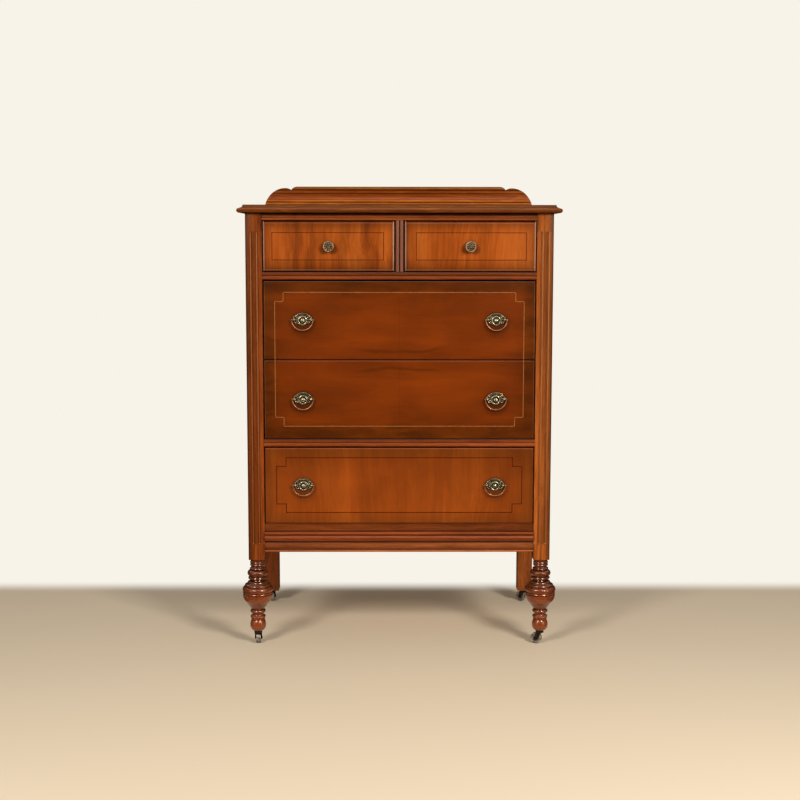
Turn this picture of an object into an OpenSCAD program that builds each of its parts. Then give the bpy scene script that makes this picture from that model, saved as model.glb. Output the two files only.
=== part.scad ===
// A chest of drawers on turned front legs and casters.
// Two small drawers stand over three wide ones, between fluted corner posts.
// Millimetres. The front faces -Y, the floor is Z = 0, and the origin is at the
// middle of the footprint.

/* [Case] */
// Width over the corner posts
case_w = 766; // [700:2:860]
// Depth over the corner posts
case_d = 465; // [400:5:520]
// Side of the square corner posts
post = 41.5; // [38:0.5:48]
// How far the front face of a front post is crowned
post_crown = 3; // [1:0.5:4]
// How far the post blocks hang below the apron
block_drop = 20; // [10:1:30]

/* [Heights] */
// Floor to the underside of the legs, filled by the casters
caster_h = 35; // [32:1:40]
// Height of the turned front legs
leg_h = 188; // [170:1:220]
// Height of the apron strip
apron_h = 28; // [20:1:36]
// Height of the rail under the bottom drawer
bottom_rail_h = 47; // [40:1:60]
// Height of the opening for the bottom drawer
bottom_open = 196; // [150:2:240]
// Height of each of the two wide openings above it
wide_open = 190; // [150:2:230]
// Height of the opening for the small drawers
small_open = 127; // [90:1:160]
// Thickness of the rails between the drawers
divider_t = 20; // [16:1:24]
// Height of the rail under the top
top_rail_h = 18; // [14:1:24]

/* [Top] */
// Thickness of the top board
top_t = 20; // [18:0.5:24]
// How far the top stands out past the posts at the front and sides
top_over = 19; // [19:1:28]
// How far the top stands out at the back
top_back = 5; // [0:1:15]
// Diameter of the half-round nose on the edge of the top
nose_d = 11.5; // [8:0.5:12]
// Step between the nose and the cove over it
nose_step = 1; // [0.5:0.5:3]
// Height of the backsplash over the top
splash_h = 62; // [54:1:80]
// Thickness of the backsplash at its base
splash_t = 22; // [18:1:26]
// Thickness of the backsplash at its crest
crest_t = 15; // [12:1:17]
// Depth of the rebate in the top that the backsplash stands in
splash_sink = 3; // [2:0.5:5]
// How far each end of the backsplash stops short of the outside of the posts
splash_in = 10; // [5:1:40]
// How far the end lobes stand below the level crest
lobe_drop = 4; // [2:0.5:6]
// Length of the fall from the top of a lobe to its notch
lobe_w = 16; // [12:1:24]
// Depth of the notch below the top of the lobe
notch_d = 5.5; // [4:0.5:8]
// Width of the rise from the notch to the level crest
notch_rise = 16; // [12:1:24]

/* [Front rails] */
// How far the beads on the rails lie behind the front of the posts
rail_set = 3; // [1:0.5:6]
// Depth of the rails from front to back
rail_d = 55; // [45:1:70]
// How far a bead stands out from its rail
bead_out = 3; // [2:0.5:4]
// Width of each bead on the centre muntin
muntin_bead = 10; // [8:0.5:12]
// Flat on each side of the muntin's beads
muntin_quirk = 1; // [0.5:0.5:3]
// Height of the base moulding
base_mould_h = 26; // [18:1:30]
// How far the base moulding stands out from its rail
base_mould_out = 8; // [5:0.5:10]
// Height of the small bead at the top of the base moulding
base_small = 9; // [6:0.5:11]
// How far the bottom rail and the apron lie behind the front of the posts
base_set = 5; // [3:0.5:8]

/* [Flutes] */
// Distance between the two flutes of a post
flute_gap = 15.4; // [12:0.2:18]
// Radius of the cutter that makes a flute
flute_r = 3.7; // [3:0.1:4.5]
// Depth of a flute
flute_depth = 2.6; // [1.5:0.1:3.5]
// Distance from the top of the post to the flutes
flute_top = 45; // [30:1:80]
// Distance from the bottom of the post block to the flutes
flute_low = 40; // [30:1:80]

/* [Joinery] */
// Length of the tenons on the rails
tenon_l = 18; // [12:1:22]
// Thickness of the tenons on the rails
tenon_t = 10; // [8:0.5:12]
// Shoulder above and below a tenon
shoulder = 3; // [2:0.5:5]
// Gap left for glue round a tenon, a dovetail or a panel
glue = 0.1; // [0.05:0.05:0.3]
// Thickness of the side panels
panel_t = 6; // [4:0.5:9]
// How far the side panels lie inside the faces of the posts
panel_set = 8; // [5:0.5:12]
// Depth of the grooves that hold the side panels
groove_d = 8; // [5:0.5:10]
// Height of the side rail under the top
side_top_h = 45; // [30:1:70]
// Height of the side rail above the post blocks
side_low_h = 62; // [40:1:90]
// Thickness of the side rails
side_rail_t = 20; // [16:0.5:24]
// How far the side rails lie inside the faces of the posts
side_rail_set = 3; // [1:0.5:6]
// Thickness of the back panel
back_t = 5; // [4:0.5:8]
// Thickness of the rear rails
rear_rail_t = 20; // [15:1:25]
// Width of the drawer runners
runner_w = 30; // [20:1:45]
// Height of the drawer guides over the runners
guide_h = 18; // [10:1:30]
// Thickness of the dust panels
dust_t = 4; // [3:0.5:6]

/* [Drawers] */
// Gap behind the drawers
behind_drawers = 8; // [3:1:40]
// Thickness of the drawer fronts
front_t = 21; // [18:0.5:25]
// How far the drawer faces lie behind the front of the posts
face_set = 2; // [0:0.5:5]
// Gap at each side of a drawer
side_gap = 2; // [1:0.25:3]
// Gap over a drawer front
top_gap = 2.5; // [1:0.25:4]
// Gap between a drawer and its runners
run_gap = 0.3; // [0.2:0.1:0.5]
// Gap between the two wide fronts that meet
meet_gap = 1; // [0.6:0.1:2]
// Gap between those fronts and the rail behind them
rest_gap = 0.3; // [0.2:0.1:1]
// Rounding of the edges of the small fronts
small_round = 6; // [3:0.5:6.5]
// Rounding of the edges of the wide fronts
wide_round = 3.5; // [2:0.5:6.5]
// Thickness of the drawer sides
box_t = 11; // [9:0.5:14]
// Thickness of the drawer bottoms
bottom_t = 5; // [4:0.5:7]
// Depth of the grooves for the drawer bottoms
bottom_groove = 5; // [3:0.5:7]
// Height of those grooves over the lower edge of the drawer
bottom_up = 9; // [6:0.5:14]
// Wood left in front of the dovetails
lap = 7; // [6.5:0.5:9]
// How far the drawer sides stop short of the opening above them
box_short = 8; // [5:0.5:14]
// Narrowest width of the pins between the dovetails
pin_w = 8; // [5:0.5:12]
// Slope of the dovetails
tail_slope = 9; // [6:1:14]

/* [Pulls] */
// Distance of each pull from the middle of the case
pull_x = 242; // [200:2:270]
// How far the bails turn over the middle of their drawers
pull_up = 2; // [0:0.5:6]
// Thickness of a backplate
plate_t = 2.2; // [1.5:0.1:3.5]
// Radius of the arch that tops a backplate
arch_r = 27.5; // [26:0.5:32]
// Height of that arch over the pivot of the bail
arch_up = 17; // [15:0.5:22]
// Radius of the round boss in the middle
boss_r = 13; // [10:0.5:14]
// Radius of the scrolls beside the boss
scroll_r = 6; // [4:0.5:7]
// Radius of the bail
bail_r = 26.4; // [26:0.2:32]
// Diameter of the wire of the bail
bail_wire = 2.6; // [2.4:0.2:4]
// Distance of the bail's pivot from the drawer face
pivot_out = 9; // [8:0.5:12]
// Radius of the knuckle on each post of a pull
knuckle_r = 3.6; // [3.4:0.2:4.4]
// Diameter of the pins of the bail
pin_d = 2.6; // [2:0.2:3]
// Diameter of the studs that hold the brasses
stud_d = 4; // [3:0.5:5]
// Diameter of a knob
knob_d = 28; // [22:1:34]
// How far a knob stands out from its drawer
knob_out = 19; // [14:1:20]

/* [Legs and casters] */
// Largest diameter of the turned legs
leg_d = 78; // [70:1:78]
// Diameter of the dowel on top of a turned leg
dowel_d = 20; // [16:1:20]
// Length of that dowel
dowel_l = 45; // [30:1:60]
// Diameter of a caster wheel
wheel_d = 28; // [22:1:28]
// Width of a caster wheel
wheel_w = 12; // [8:0.5:13]
// Distance from the axle to the swivel axis
trail = 9; // [6:0.5:12]
// Diameter of the stem of a caster
stem_d = 8; // [7:0.5:9]
// Length of the socket that holds the stem
socket_l = 38; // [30:1:45]
// Wall of that socket
socket_wall = 1.5; // [1:0.25:2]
// Thickness of the metal of the horns
horn_t = 2.5; // [1.5:0.25:3]
// Diameter of the axle of a wheel
axle_d = 4; // [3:0.5:5]
// Gap between a turning piece and the piece it turns on
run_fit = 0.06; // [0.02:0.01:0.1]
// Turn of the front right caster
turn_front = 70; // [0:5:350]
// Turn of the rear right caster
turn_rear = 55; // [0:5:350]

/* [Hidden] */
$fn = 64;
eps = 0.01;

WALNUT = "#8a4420";
DARK_WALNUT = "#6e3216";
FIGURED = "#a5571f";
OAK = "#b98c58";
PLY = "#c09a6a";
BRASS = "#a48a4e";
STEEL = "#3c3530";

// Planes from front to back
yf = top_over - (case_d + top_over + top_back) / 2;
yb = yf + case_d;
y_rail = yf + rail_set;
y_rail_end = y_rail + rail_d;
y_face = yf + face_set;
y_front_back = y_face + front_t;
y_rear_rail = yb - back_t - rear_rail_t;
y_box_end = y_rear_rail - behind_drawers;

// Planes from side to side
x_out = case_w / 2;
x_in = x_out - post;
x_post = x_out - post / 2;
muntin_w = 2 * (muntin_bead + muntin_quirk);
x_panel_in = x_out - panel_set - panel_t;

// Levels from the floor up
z_block = caster_h + leg_h;
z_apron = z_block + block_drop;
z_rail = z_apron + apron_h;
z_bottom = z_rail + bottom_rail_h;
z_lower = z_bottom + bottom_open;
z_middle = z_lower + divider_t;
z_hidden = z_middle + wide_open;
z_upper = z_hidden + divider_t;
z_divider = z_upper + wide_open;
z_small = z_divider + divider_t;
z_top_rail = z_small + small_open;
z_top = z_top_rail + top_rail_h;
z_crest = z_top + top_t + splash_h;
z_meet = z_hidden + divider_t / 2;

// Box between two opposite corners
module span(lo, hi) {
    translate(lo) cube(hi - lo);
}

// Drawing in the YZ plane, run from x0 to x1
module along_x(x0, x1) {
    translate([x0, 0, 0]) rotate([90, 0, 90]) linear_extrude(x1 - x0) children();
}

// Drawing in the XZ plane, run from y0 to y1
module along_y(y0, y1) {
    translate([0, y1, 0]) rotate([90, 0, 0]) linear_extrude(y1 - y0) children();
}

module mirrored_x() {
    children();
    mirror([1, 0, 0]) children();
}

// Points of an arc about [cx, cy] from angle a0 to a1, its height stretched k times
function arc(cx, cy, r, a0, a1, n = 8, k = 1) =
    [for (i = [0:n]) let (a = a0 + (a1 - a0) * i / n) [cx + r * cos(a), cy + k * r * sin(a)]];

y_low_rail = yf + base_set;
y_low_end = y_low_rail + rear_rail_t;
y_apron = y_low_rail - 1;
y_hidden = y_front_back + rest_gap;

// Front rails, each [bottom, height, front plane]
FRONT_RAILS = [
    [z_rail, bottom_rail_h, y_low_rail],
    [z_lower, divider_t, y_rail],
    [z_hidden, divider_t, y_hidden],
    [z_divider, divider_t, y_rail],
    [z_top_rail, top_rail_h, y_rail]];
// A tenon starts this far behind the front plane of its rail
tenon_in = 6;

// Levels that carry runners
RUN_LEVELS = [z_bottom, z_middle, z_upper, z_small];
rear_rail_h = divider_t;

// Tenons of one front rail, with a gap c round them
module front_rail_tenons(r, c = 0) {
    mirrored_x()
        span([x_in - eps, r[2] + tenon_in - c, r[0] + shoulder - c],
             [x_in + tenon_l + c, r[2] + tenon_in + tenon_t + c, r[0] + r[1] - shoulder + c]);
}

// Tenons of the rear rails, with a gap c round them
module rear_tenons(c) {
    for (z = concat(RUN_LEVELS, [z_top]))
        span([x_in - eps, y_rear_rail + (rear_rail_t - tenon_t) / 2 - c,
              z - rear_rail_h + shoulder - c],
             [x_in + tenon_l + c, y_rear_rail + (rear_rail_t + tenon_t) / 2 + c,
              z - shoulder + c]);
}

// Side rails, each [bottom, height]
SIDE_RAILS = [[z_apron, side_low_h], [z_top - side_top_h, side_top_h]];
side_tenon_l = 10;

// Side rails with tenons of length l into the posts, with a gap c round the tenons
module side_tenons(c) {
    x1 = x_out - side_rail_set - (side_rail_t - tenon_t) / 2;
    for (r = SIDE_RAILS)
        span([x1 - tenon_t - c, yf + post - side_tenon_l - c, r[0] + shoulder - c],
             [x1 + c, yb - post + side_tenon_l + c, r[0] + r[1] - shoulder + c]);
}

// The side panel, grown by c
module side_panel_solid(c) {
    span([x_panel_in - c, yf + post - groove_d - c, z_apron + side_low_h - groove_d - c],
         [x_panel_in + panel_t + c, yb - post + groove_d + c, z_top - side_top_h + groove_d + c]);
}

// Dust panels in the frames between the drawers, grown by c
dust_in = 7;
module dust_solids(c) {
    for (z = RUN_LEVELS) {
        y0 = (z == z_bottom ? yf + base_set + rear_rail_t : y_rail_end) - dust_in;
        halves = z == z_small ? [[-x_in + runner_w - dust_in, -runner_w / 2 + dust_in],
                                 [runner_w / 2 - dust_in, x_in - runner_w + dust_in]]
                              : [[-x_in + runner_w - dust_in, x_in - runner_w + dust_in]];
        for (h = halves)
            span([h[0] - c, y0 - c, z - (divider_t + dust_t) / 2 - c],
                 [h[1] + c, y_rear_rail + dust_in + c, z - (divider_t - dust_t) / 2 + c]);
    }
}

// Square post with a crowned front face
module post_section() {
    crown_r = pow(post / 2, 2) / (2 * post_crown) + post_crown / 2;
    intersection() {
        square(post);
        translate([post / 2, crown_r]) circle(crown_r, $fn = 128);
    }
}

// Round-ended flute on the front of a post
module flute(z0, z1) {
    translate([0, 0, z0 + flute_r]) sphere(flute_r);
    translate([0, 0, z1 - flute_r]) sphere(flute_r);
    translate([0, 0, z0 + flute_r]) cylinder(h = z1 - z0 - 2 * flute_r, r = flute_r);
}

module front_post() {
    color(WALNUT) difference() {
        translate([x_in, yf, z_block]) linear_extrude(z_top - z_block) post_section();
        // The crowned face has fallen back this far at a flute
        fall = post_crown * pow(flute_gap / post, 2);
        for (s = [-1, 1])
            translate([x_post + s * flute_gap / 2, yf + fall + flute_depth - flute_r, 0])
                flute(z_block + flute_low, z_top - flute_top);
        for (r = FRONT_RAILS) front_rail_tenons(r, glue);
        apron_tenons(glue);
        side_tenons(glue);
        side_panel_solid(glue);
        translate([x_post, yf + post / 2, z_block - 1])
            cylinder(h = dowel_l + 2, d = dowel_d + 2 * glue);
    }
}

module rear_post() {
    color(WALNUT) difference() {
        span([x_in, yb - post, caster_h], [x_out, yb, z_top]);
        rear_tenons(glue);
        side_tenons(glue);
        side_panel_solid(glue);
        // Rebate for the back panel
        span([x_in - 1, yb - back_t - glue, z_rail - glue], [x_in + groove_d + glue, yb + 1, z_top + 1]);
        translate([x_post, yb - post / 2, caster_h - 1])
            cylinder(h = socket_l + 2, r = socket_r + run_fit);
    }
}

// Turned leg, drawn from its foot up as [radius, height]. The urn between the lower
// rings and the neck stretches when the leg gets longer, and the beads keep their form.
leg_foot_r = 11.5;
urn_z = 57.6;
urn_span = 75.4;
neck_down = 55;
function leg_profile(R, H) =
    let (k = (H - neck_down - urn_z) / urn_span, u = function(z) urn_z + (z - urn_z) * k)
    concat(
        [[0, 0], [leg_foot_r, 0]],
        // Ball foot, fuller below than above
        arc(8.4, 14.9, 12, -66, 0, 8, 1.25),
        arc(8.4, 14.9, 12, 8, 44, 5, 1.7),
        [[15.2, 30.2]],
        // Small ring, larger ring, the neck over them and the ring under the urn
        arc(16.1, 32.5, 2, -60, 55, 4),
        arc(16, 37.4, 3.5, -55, 62, 6),
        arc(18.4, 43.6, 4, 235, 130, 6),
        arc(14.9, 51.6, 4.8, -60, 50, 7),
        [[16, 56.4], [16.4, urn_z]],
        // Body of the urn, swelling to a thin ring
        arc(R - 30.3, u(95), 29, -50, 0, 12, k),
        [[R - 3.6, u(96.9)]],
        arc(R - 3.2, u(99.7), 2.2, -60, 60, 5, k),
        [[R - 4, u(102.8)]],
        // Rim of the urn and the shoulder rings that fall in to the neck
        arc(R - 9, u(109), 9, -40, 44, 9, k),
        [[R - 6.4, u(116.4)]],
        arc(R - 9.2, u(119.4), 3.4, -40, 72, 6, k),
        [[R - 12, u(123.6)]],
        arc(22.6, u(127), 3.2, -30, 75, 5, k),
        arc(20.6, H - 54.4, 2.9, 240, 120, 5),
        // Lip, big bead and the small ring over it
        arc(21.2, H - 49.2, 2.9, -65, 62, 5),
        [[21.2, H - 45.6]],
        arc(17.8, H - 36.7, 8.2, -56, 58, 10),
        [[18.4, H - 28.4]],
        arc(17.6, H - 25.2, 2.6, -60, 62, 5),
        // Neck and the two beads under the block
        arc(18.6, H - 20.2, 2.4, 240, 120, 4),
        arc(16.3, H - 15.2, 2.9, -60, 60, 5),
        arc(16.3, H - 9.2, 2.9, -60, 60, 5),
        [[17.8, H - 5.8], [17.8, H], [0, H]]);

socket_r = stem_d / 2 + run_fit + socket_wall;

module turned_leg() {
    color(DARK_WALNUT) translate([x_post, yf + post / 2, caster_h]) difference() {
        union() {
            rotate_extrude($fn = 96) polygon(leg_profile(leg_d / 2, leg_h));
            translate([0, 0, leg_h - 1]) cylinder(h = dowel_l + 1, d = dowel_d);
        }
        translate([0, 0, -1]) cylinder(h = socket_l + 2, r = socket_r + run_fit);
    }
}

module side_panel() {
    color(FIGURED) side_panel_solid(0);
}

module side_rails() {
    x1 = x_out - side_rail_set;
    color(WALNUT) difference() {
        union() {
            side_tenons(0);
            for (r = SIDE_RAILS)
                span([x1 - side_rail_t, yf + post, r[0]], [x1, yb - post, r[0] + r[1]]);
        }
        side_panel_solid(glue);
    }
}

module back_panel() {
    color(PLY) span([-x_in - groove_d, yb - back_t, z_rail], [x_in + groove_d, yb, z_top]);
}

// Edge of the top board, with the tip of its nose at x = 0 and the board towards -x. The
// cove over the nose starts this far behind the middle of the nose.
cove_back = 1;
module top_edge(depth) {
    nose = nose_d / 2;
    cove = top_t - nose_d - nose_step;
    translate([-depth, 0]) square([depth - nose, nose_d]);
    translate([-nose, nose]) circle(nose);
    difference() {
        translate([-depth, 0]) square([depth - nose - cove_back, top_t]);
        translate([-nose - cove_back, top_t]) circle(cove);
    }
}

module top_board() {
    half = x_out + top_over;
    depth = case_d + top_over + top_back;
    color(WALNUT) difference() {
        translate([0, 0, z_top]) intersection() {
            along_x(-half, half) translate([yf - top_over, 0]) mirror([1, 0]) top_edge(depth);
            along_y(yf - top_over, yf - top_over + depth) mirrored_x()
                translate([half, 0]) top_edge(half);
        }
        // Rebate that the backsplash stands in, open to the back
        span([-splash_x - glue, yb - splash_t - glue, z_top + top_t - splash_sink - glue],
             [splash_x + glue, yb + top_back + 1, z_top + top_t + 1]);
    }
}

// Outline of the backsplash, its right half drawn from the foot up and then mirrored: the
// part let into the top, a quarter round, a lobe that falls to a notch, and a rise to the
// level crest
splash_x = x_out - splash_in;
module splash_outline() {
    lobe_h = splash_h - lobe_drop;
    x_lobe = splash_x - lobe_h;
    x_notch = x_lobe - lobe_w;
    x_crest = x_notch - notch_rise;
    rise = notch_d + lobe_drop;
    // Radii of arcs that fall by notch_d and by rise over their lengths
    lobe_r = (pow(lobe_w, 2) + pow(notch_d, 2)) / (2 * notch_d);
    rise_r = (pow(notch_rise, 2) + pow(rise, 2)) / (2 * rise);
    half = concat(
        [[splash_x, -splash_sink]],
        arc(x_lobe, 0, lobe_h, 0, 90, 30),
        arc(x_lobe, lobe_h - lobe_r, lobe_r, 90, 90 + asin(lobe_w / lobe_r), 8),
        arc(x_crest, splash_h - rise_r, rise_r, acos(notch_rise / rise_r), 90, 8));
    polygon(concat(half, [for (i = [len(half) - 1:-1:0]) [-half[i][0], half[i][1]]]));
}

// Section of the backsplash, its back at x = 0. From the foot up it has a plain foot, a
// bead, a cove, a flat list and a bead along the crest.
foot_h = 18;
foot_bead = 8;
foot_step = 4;
crest_list = 9;
list_out = 1.2;
crest_bead = 10;
// The cove runs this far into the plane over it, so that it ends on an arris
cove_in = 0.6;
module splash_section() {
    z_bead = foot_h + foot_bead;
    z_list = splash_h - crest_bead - crest_list;
    flare = splash_t - foot_step - crest_t;
    cove_r = (pow(z_list - z_bead, 2) + pow(flare, 2)) / (2 * flare);
    translate([-splash_t, -splash_sink]) square([splash_t, foot_h + splash_sink]);
    translate([-splash_t + foot_step, foot_h]) square([splash_t - foot_step, foot_bead]);
    translate([-splash_t + foot_step, foot_h]) bead(foot_bead, foot_step - 1);
    difference() {
        translate([-splash_t + foot_step, z_bead]) square([splash_t - foot_step, z_list - z_bead]);
        translate([-crest_t - cove_r + cove_in, z_list]) circle(cove_r, $fn = 128);
    }
    translate([-crest_t, 0]) square([crest_t, splash_h]);
    translate([-crest_t - list_out, z_list + 1]) square([crest_t, crest_list - 3]);
    translate([-crest_t, splash_h - crest_bead]) bead(crest_bead, bead_out);
}

module backsplash() {
    color(FIGURED) translate([0, 0, z_top + top_t]) intersection() {
        along_x(-x_out, x_out) translate([yb, 0]) splash_section();
        along_y(yb - splash_t - 1, yb) splash_outline();
    }
}

// Bead of height h that stands out by out, its flat side on x = 0 and its foot at y = 0
module bead(h, out) {
    r = (pow(h / 2, 2) + pow(out, 2)) / (2 * out);
    intersection() {
        translate([r - out, h / 2]) circle(r);
        translate([-out - 1, 0]) square([out + 1 + eps, h]);
    }
}

// Section of a rail with two beads down its front, the tips of the beads at x = 0
module beaded_section(depth, h) {
    translate([bead_out, 0]) square([depth - bead_out, h]);
    for (i = [0, 1]) translate([bead_out, i * h / 2]) bead(h / 2, bead_out);
}

// The rail under the top is plain, with one bead along its lower edge
module top_rail() {
    color(WALNUT) difference() {
        union() {
            along_x(-x_in, x_in) translate([y_rail, z_top_rail]) {
                translate([bead_out / 2, 0]) square([rail_d - bead_out / 2, top_rail_h]);
                translate([bead_out / 2, 0]) bead(top_rail_h / 3, bead_out / 2);
            }
            front_rail_tenons(FRONT_RAILS[4]);
        }
        muntin_tenons(glue);
    }
}

module divider_rail(r) {
    color(WALNUT) difference() {
        union() {
            along_x(-x_in, x_in) translate([r[2], r[0]]) beaded_section(rail_d, divider_t);
            front_rail_tenons(r);
        }
        dust_solids(glue);
        muntin_tenons(glue);
    }
}

module hidden_divider_rail() {
    r = FRONT_RAILS[2];
    color(OAK) difference() {
        union() {
            span([-x_in, r[2], r[0]], [x_in, y_rail_end, r[0] + r[1]]);
            front_rail_tenons(r);
        }
        dust_solids(glue);
    }
}

module bottom_rail() {
    r = FRONT_RAILS[0];
    color(WALNUT) difference() {
        union() {
            span([-x_in, r[2], r[0]], [x_in, y_low_end, r[0] + r[1]]);
            front_rail_tenons(r);
        }
        dust_solids(glue);
    }
}

// Tenons at the ends of the centre muntin, with a gap c round them
muntin_tenon_l = 7;
muntin_tenon_w = 11;
muntin_tenon_in = 12;
muntin_tenon_d = 24;
module muntin_tenons(c) {
    y0 = y_rail + muntin_tenon_in;
    span([-muntin_tenon_w / 2 - c, y0 - c, z_small - muntin_tenon_l - c],
         [muntin_tenon_w / 2 + c, y0 + muntin_tenon_d + c, z_top_rail + muntin_tenon_l + c]);
}

module centre_muntin() {
    color(WALNUT) {
        translate([0, 0, z_small]) linear_extrude(small_open) {
            translate([-muntin_w / 2, y_rail + bead_out])
                square([muntin_w, rail_d - bead_out]);
            for (x = [-muntin_bead, 0]) translate([x + muntin_bead, y_rail + bead_out])
                rotate(90) bead(muntin_bead, bead_out);
        }
        muntin_tenons(0);
    }
}

// Base moulding, glued to the bottom rail: a small bead over a large one, with a quirk
// between them and over the small one
mould_quirk = 1.5;
module base_moulding() {
    half_out = base_mould_out / 2;
    large = base_mould_h - base_small - mould_quirk;
    color(WALNUT) along_x(-x_in, x_in) translate([y_low_rail - half_out, z_rail]) {
        square([half_out, base_mould_h]);
        bead(large, half_out);
        translate([0, large + mould_quirk]) bead(base_small - mould_quirk, half_out - 1);
    }
}

// Tenons at the ends of the apron, which stop short of the dowels in the posts, with a
// gap c round them
apron_tenon_l = 9;
module apron_tenons(c) {
    mirrored_x() span([x_in - eps, y_apron + tenon_in - c, z_apron + shoulder - c],
        [x_in + apron_tenon_l + c, y_apron + tenon_in + tenon_t + c, z_rail - shoulder + c]);
}

// Apron with a bead along its lower edge
apron_bead = 6;
apron_quirk = 1;
module apron() {
    color(WALNUT) {
        along_x(-x_in, x_in) translate([y_apron, z_apron]) {
            translate([bead_out, 0]) square([y_low_end - y_apron - bead_out, apron_h]);
            translate([bead_out, 0]) bead(apron_bead, bead_out);
            translate([bead_out, apron_bead + apron_quirk])
                bead(apron_h - apron_bead - 2 * apron_quirk, bead_out);
        }
        apron_tenons(0);
    }
}

module rear_rails() {
    color(OAK) difference() {
        union() {
            for (z = concat(RUN_LEVELS, [z_top]))
                span([-x_in, y_rear_rail, z - rear_rail_h], [x_in, y_rear_rail + rear_rail_t, z]);
            mirrored_x() rear_tenons(0);
        }
        dust_solids(glue);
    }
}

// Runners at both sides, and one under the middle where the two small drawers meet
module drawer_runners() {
    color(OAK) difference() {
        for (z = RUN_LEVELS) {
            y0 = z == z_bottom ? y_low_end : y_rail_end;
            mirrored_x() span([x_in - runner_w, y0, z - divider_t], [x_in, y_rear_rail, z]);
            if (z == z_small) span([-runner_w / 2, y0, z - divider_t], [runner_w / 2, y_rear_rail, z]);
        }
        dust_solids(glue);
    }
}

// Guides beside the drawers, in line with the inner faces of the posts, and one
// between the two small drawers
module drawer_guides() {
    color(OAK) {
        for (z = RUN_LEVELS) mirrored_x()
            span([x_in, yf + post, max(z - divider_t, z_apron + side_low_h)],
                 [x_panel_in, yb - post, z + guide_h]);
        span([-muntin_w / 2, y_rail_end, z_small], [muntin_w / 2, y_rear_rail, z_small + guide_h]);
    }
}

module dust_panels() {
    color(PLY) dust_solids(0);
}

module caster_sockets() {
    color(BRASS) for (p = CASTERS) translate([p[0], p[1], caster_h]) difference() {
        union() {
            cylinder(h = socket_l, r = socket_r);
            translate([0, 0, -flange_t]) cylinder(h = flange_t, r = flange_r);
        }
        translate([0, 0, -flange_t - 1]) cylinder(h = socket_l + 3, d = stem_d + 2 * run_fit);
    }
}

// Sockets of the dovetails along one edge of a drawer front or back. The tails run
// along +x from 0 to len, and stand in z from z0 to z1, grown by c.
module tails(len, z0, z1, c) {
    n = max(2, round((z1 - z0) / 42));
    pitch = (z1 - z0) / n;
    flare = len * tan(tail_slope);
    for (i = [0:n - 1]) {
        low = z0 + i * pitch + pin_w / 2 + flare;
        high = z0 + (i + 1) * pitch - pin_w / 2 - flare;
        polygon([[-eps, low - c], [len + c, low - flare - c],
                 [len + c, high + flare + c], [-eps, high + c]]);
    }
}

// Tails on both ends of the drawer sides, drawn in the YZ plane, grown by c
module side_tails(z0, z1, c) {
    translate([y_front_back, 0]) mirror([1, 0]) tails(front_t - lap, z0, z1, c);
    translate([y_box_end - box_t, 0]) tails(box_t, z0 + bottom_up + bottom_t, z1, c);
}

// A drawer is [left, right, lowest and highest edge of its front, runner level,
// height of its opening, rounding of its front]
DRAWERS = [
    [-x_in + side_gap, -muntin_w / 2 - side_gap, z_small + run_gap, z_top_rail - top_gap,
        z_small, small_open, small_round],
    [muntin_w / 2 + side_gap, x_in - side_gap, z_small + run_gap, z_top_rail - top_gap,
        z_small, small_open, small_round],
    [-x_in + side_gap, x_in - side_gap, z_meet + meet_gap / 2, z_divider - top_gap,
        z_upper, wide_open, wide_round],
    [-x_in + side_gap, x_in - side_gap, z_middle + run_gap, z_meet - meet_gap / 2,
        z_middle, wide_open, wide_round],
    [-x_in + side_gap, x_in - side_gap, z_bottom + run_gap, z_lower - top_gap,
        z_bottom, bottom_open, wide_round]];

function side_low(d) = d[4] + run_gap;
function side_high(d) = d[4] + d[5] - box_short;

// Rectangle w by t with the two corners on its near side rounded
module rounded_face(w, t, r) {
    translate([0, r]) square([w, t - r]);
    translate([r, 0]) square([w - 2 * r, t]);
    for (x = [r, w - r]) translate([x, r]) circle(r);
}

// The bottom board, grown by c and reaching g into the grooves of its drawer
module bottom_solid(d, g, c) {
    z0 = side_low(d) + bottom_up;
    span([d[0] + box_t - g - c, y_front_back - g - c, z0 - c],
         [d[1] - box_t + g + c, y_box_end + c, z0 + bottom_t + c]);
}

module drawer_front(d) {
    w = d[1] - d[0];
    h = d[3] - d[2];
    color(FIGURED) difference() {
        intersection() {
            translate([d[0], y_face, d[2]]) linear_extrude(h) rounded_face(w, front_t, d[6]);
            along_x(d[0], d[1]) translate([y_face, d[2]]) rotate(90) mirror([0, 1])
                rounded_face(h, front_t, d[6]);
        }
        for (x = [[d[0] - 1, d[0] + box_t + glue], [d[1] - box_t - glue, d[1] + 1]])
            along_x(x[0], x[1]) translate([y_front_back, 0]) mirror([1, 0])
                tails(front_t - lap, side_low(d), side_high(d), glue);
        bottom_solid(d, bottom_groove, glue);
        for (p = stud_places(d)) translate([p[0], y_face - 1, p[1]]) rotate([-90, 0, 0])
            cylinder(h = front_t + 2, d = stud_d + 2 * glue);
    }
}

module drawer_box(d) {
    color(OAK) {
        difference() {
            for (x = [d[0], d[1] - box_t]) along_x(x, x + box_t) {
                translate([y_front_back, side_low(d)]) {
                    square([y_box_end - box_t - y_front_back, side_high(d) - side_low(d)]);
                    square([y_box_end - y_front_back, bottom_up + bottom_t]);
                }
                side_tails(side_low(d), side_high(d), 0);
            }
            bottom_solid(d, bottom_groove, glue);
        }
        z_low = side_low(d) + bottom_up + bottom_t + glue;
        difference() {
            span([d[0], y_box_end - box_t + glue, z_low], [d[1], y_box_end, side_high(d)]);
            for (x = [[d[0] - 1, d[0] + box_t + glue], [d[1] - box_t - glue, d[1] + 1]])
                along_x(x[0], x[1]) side_tails(side_low(d), side_high(d), glue);
        }
    }
}

module drawer_bottom(d) {
    color(PLY) bottom_solid(d, bottom_groove - glue, 0);
}

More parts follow.
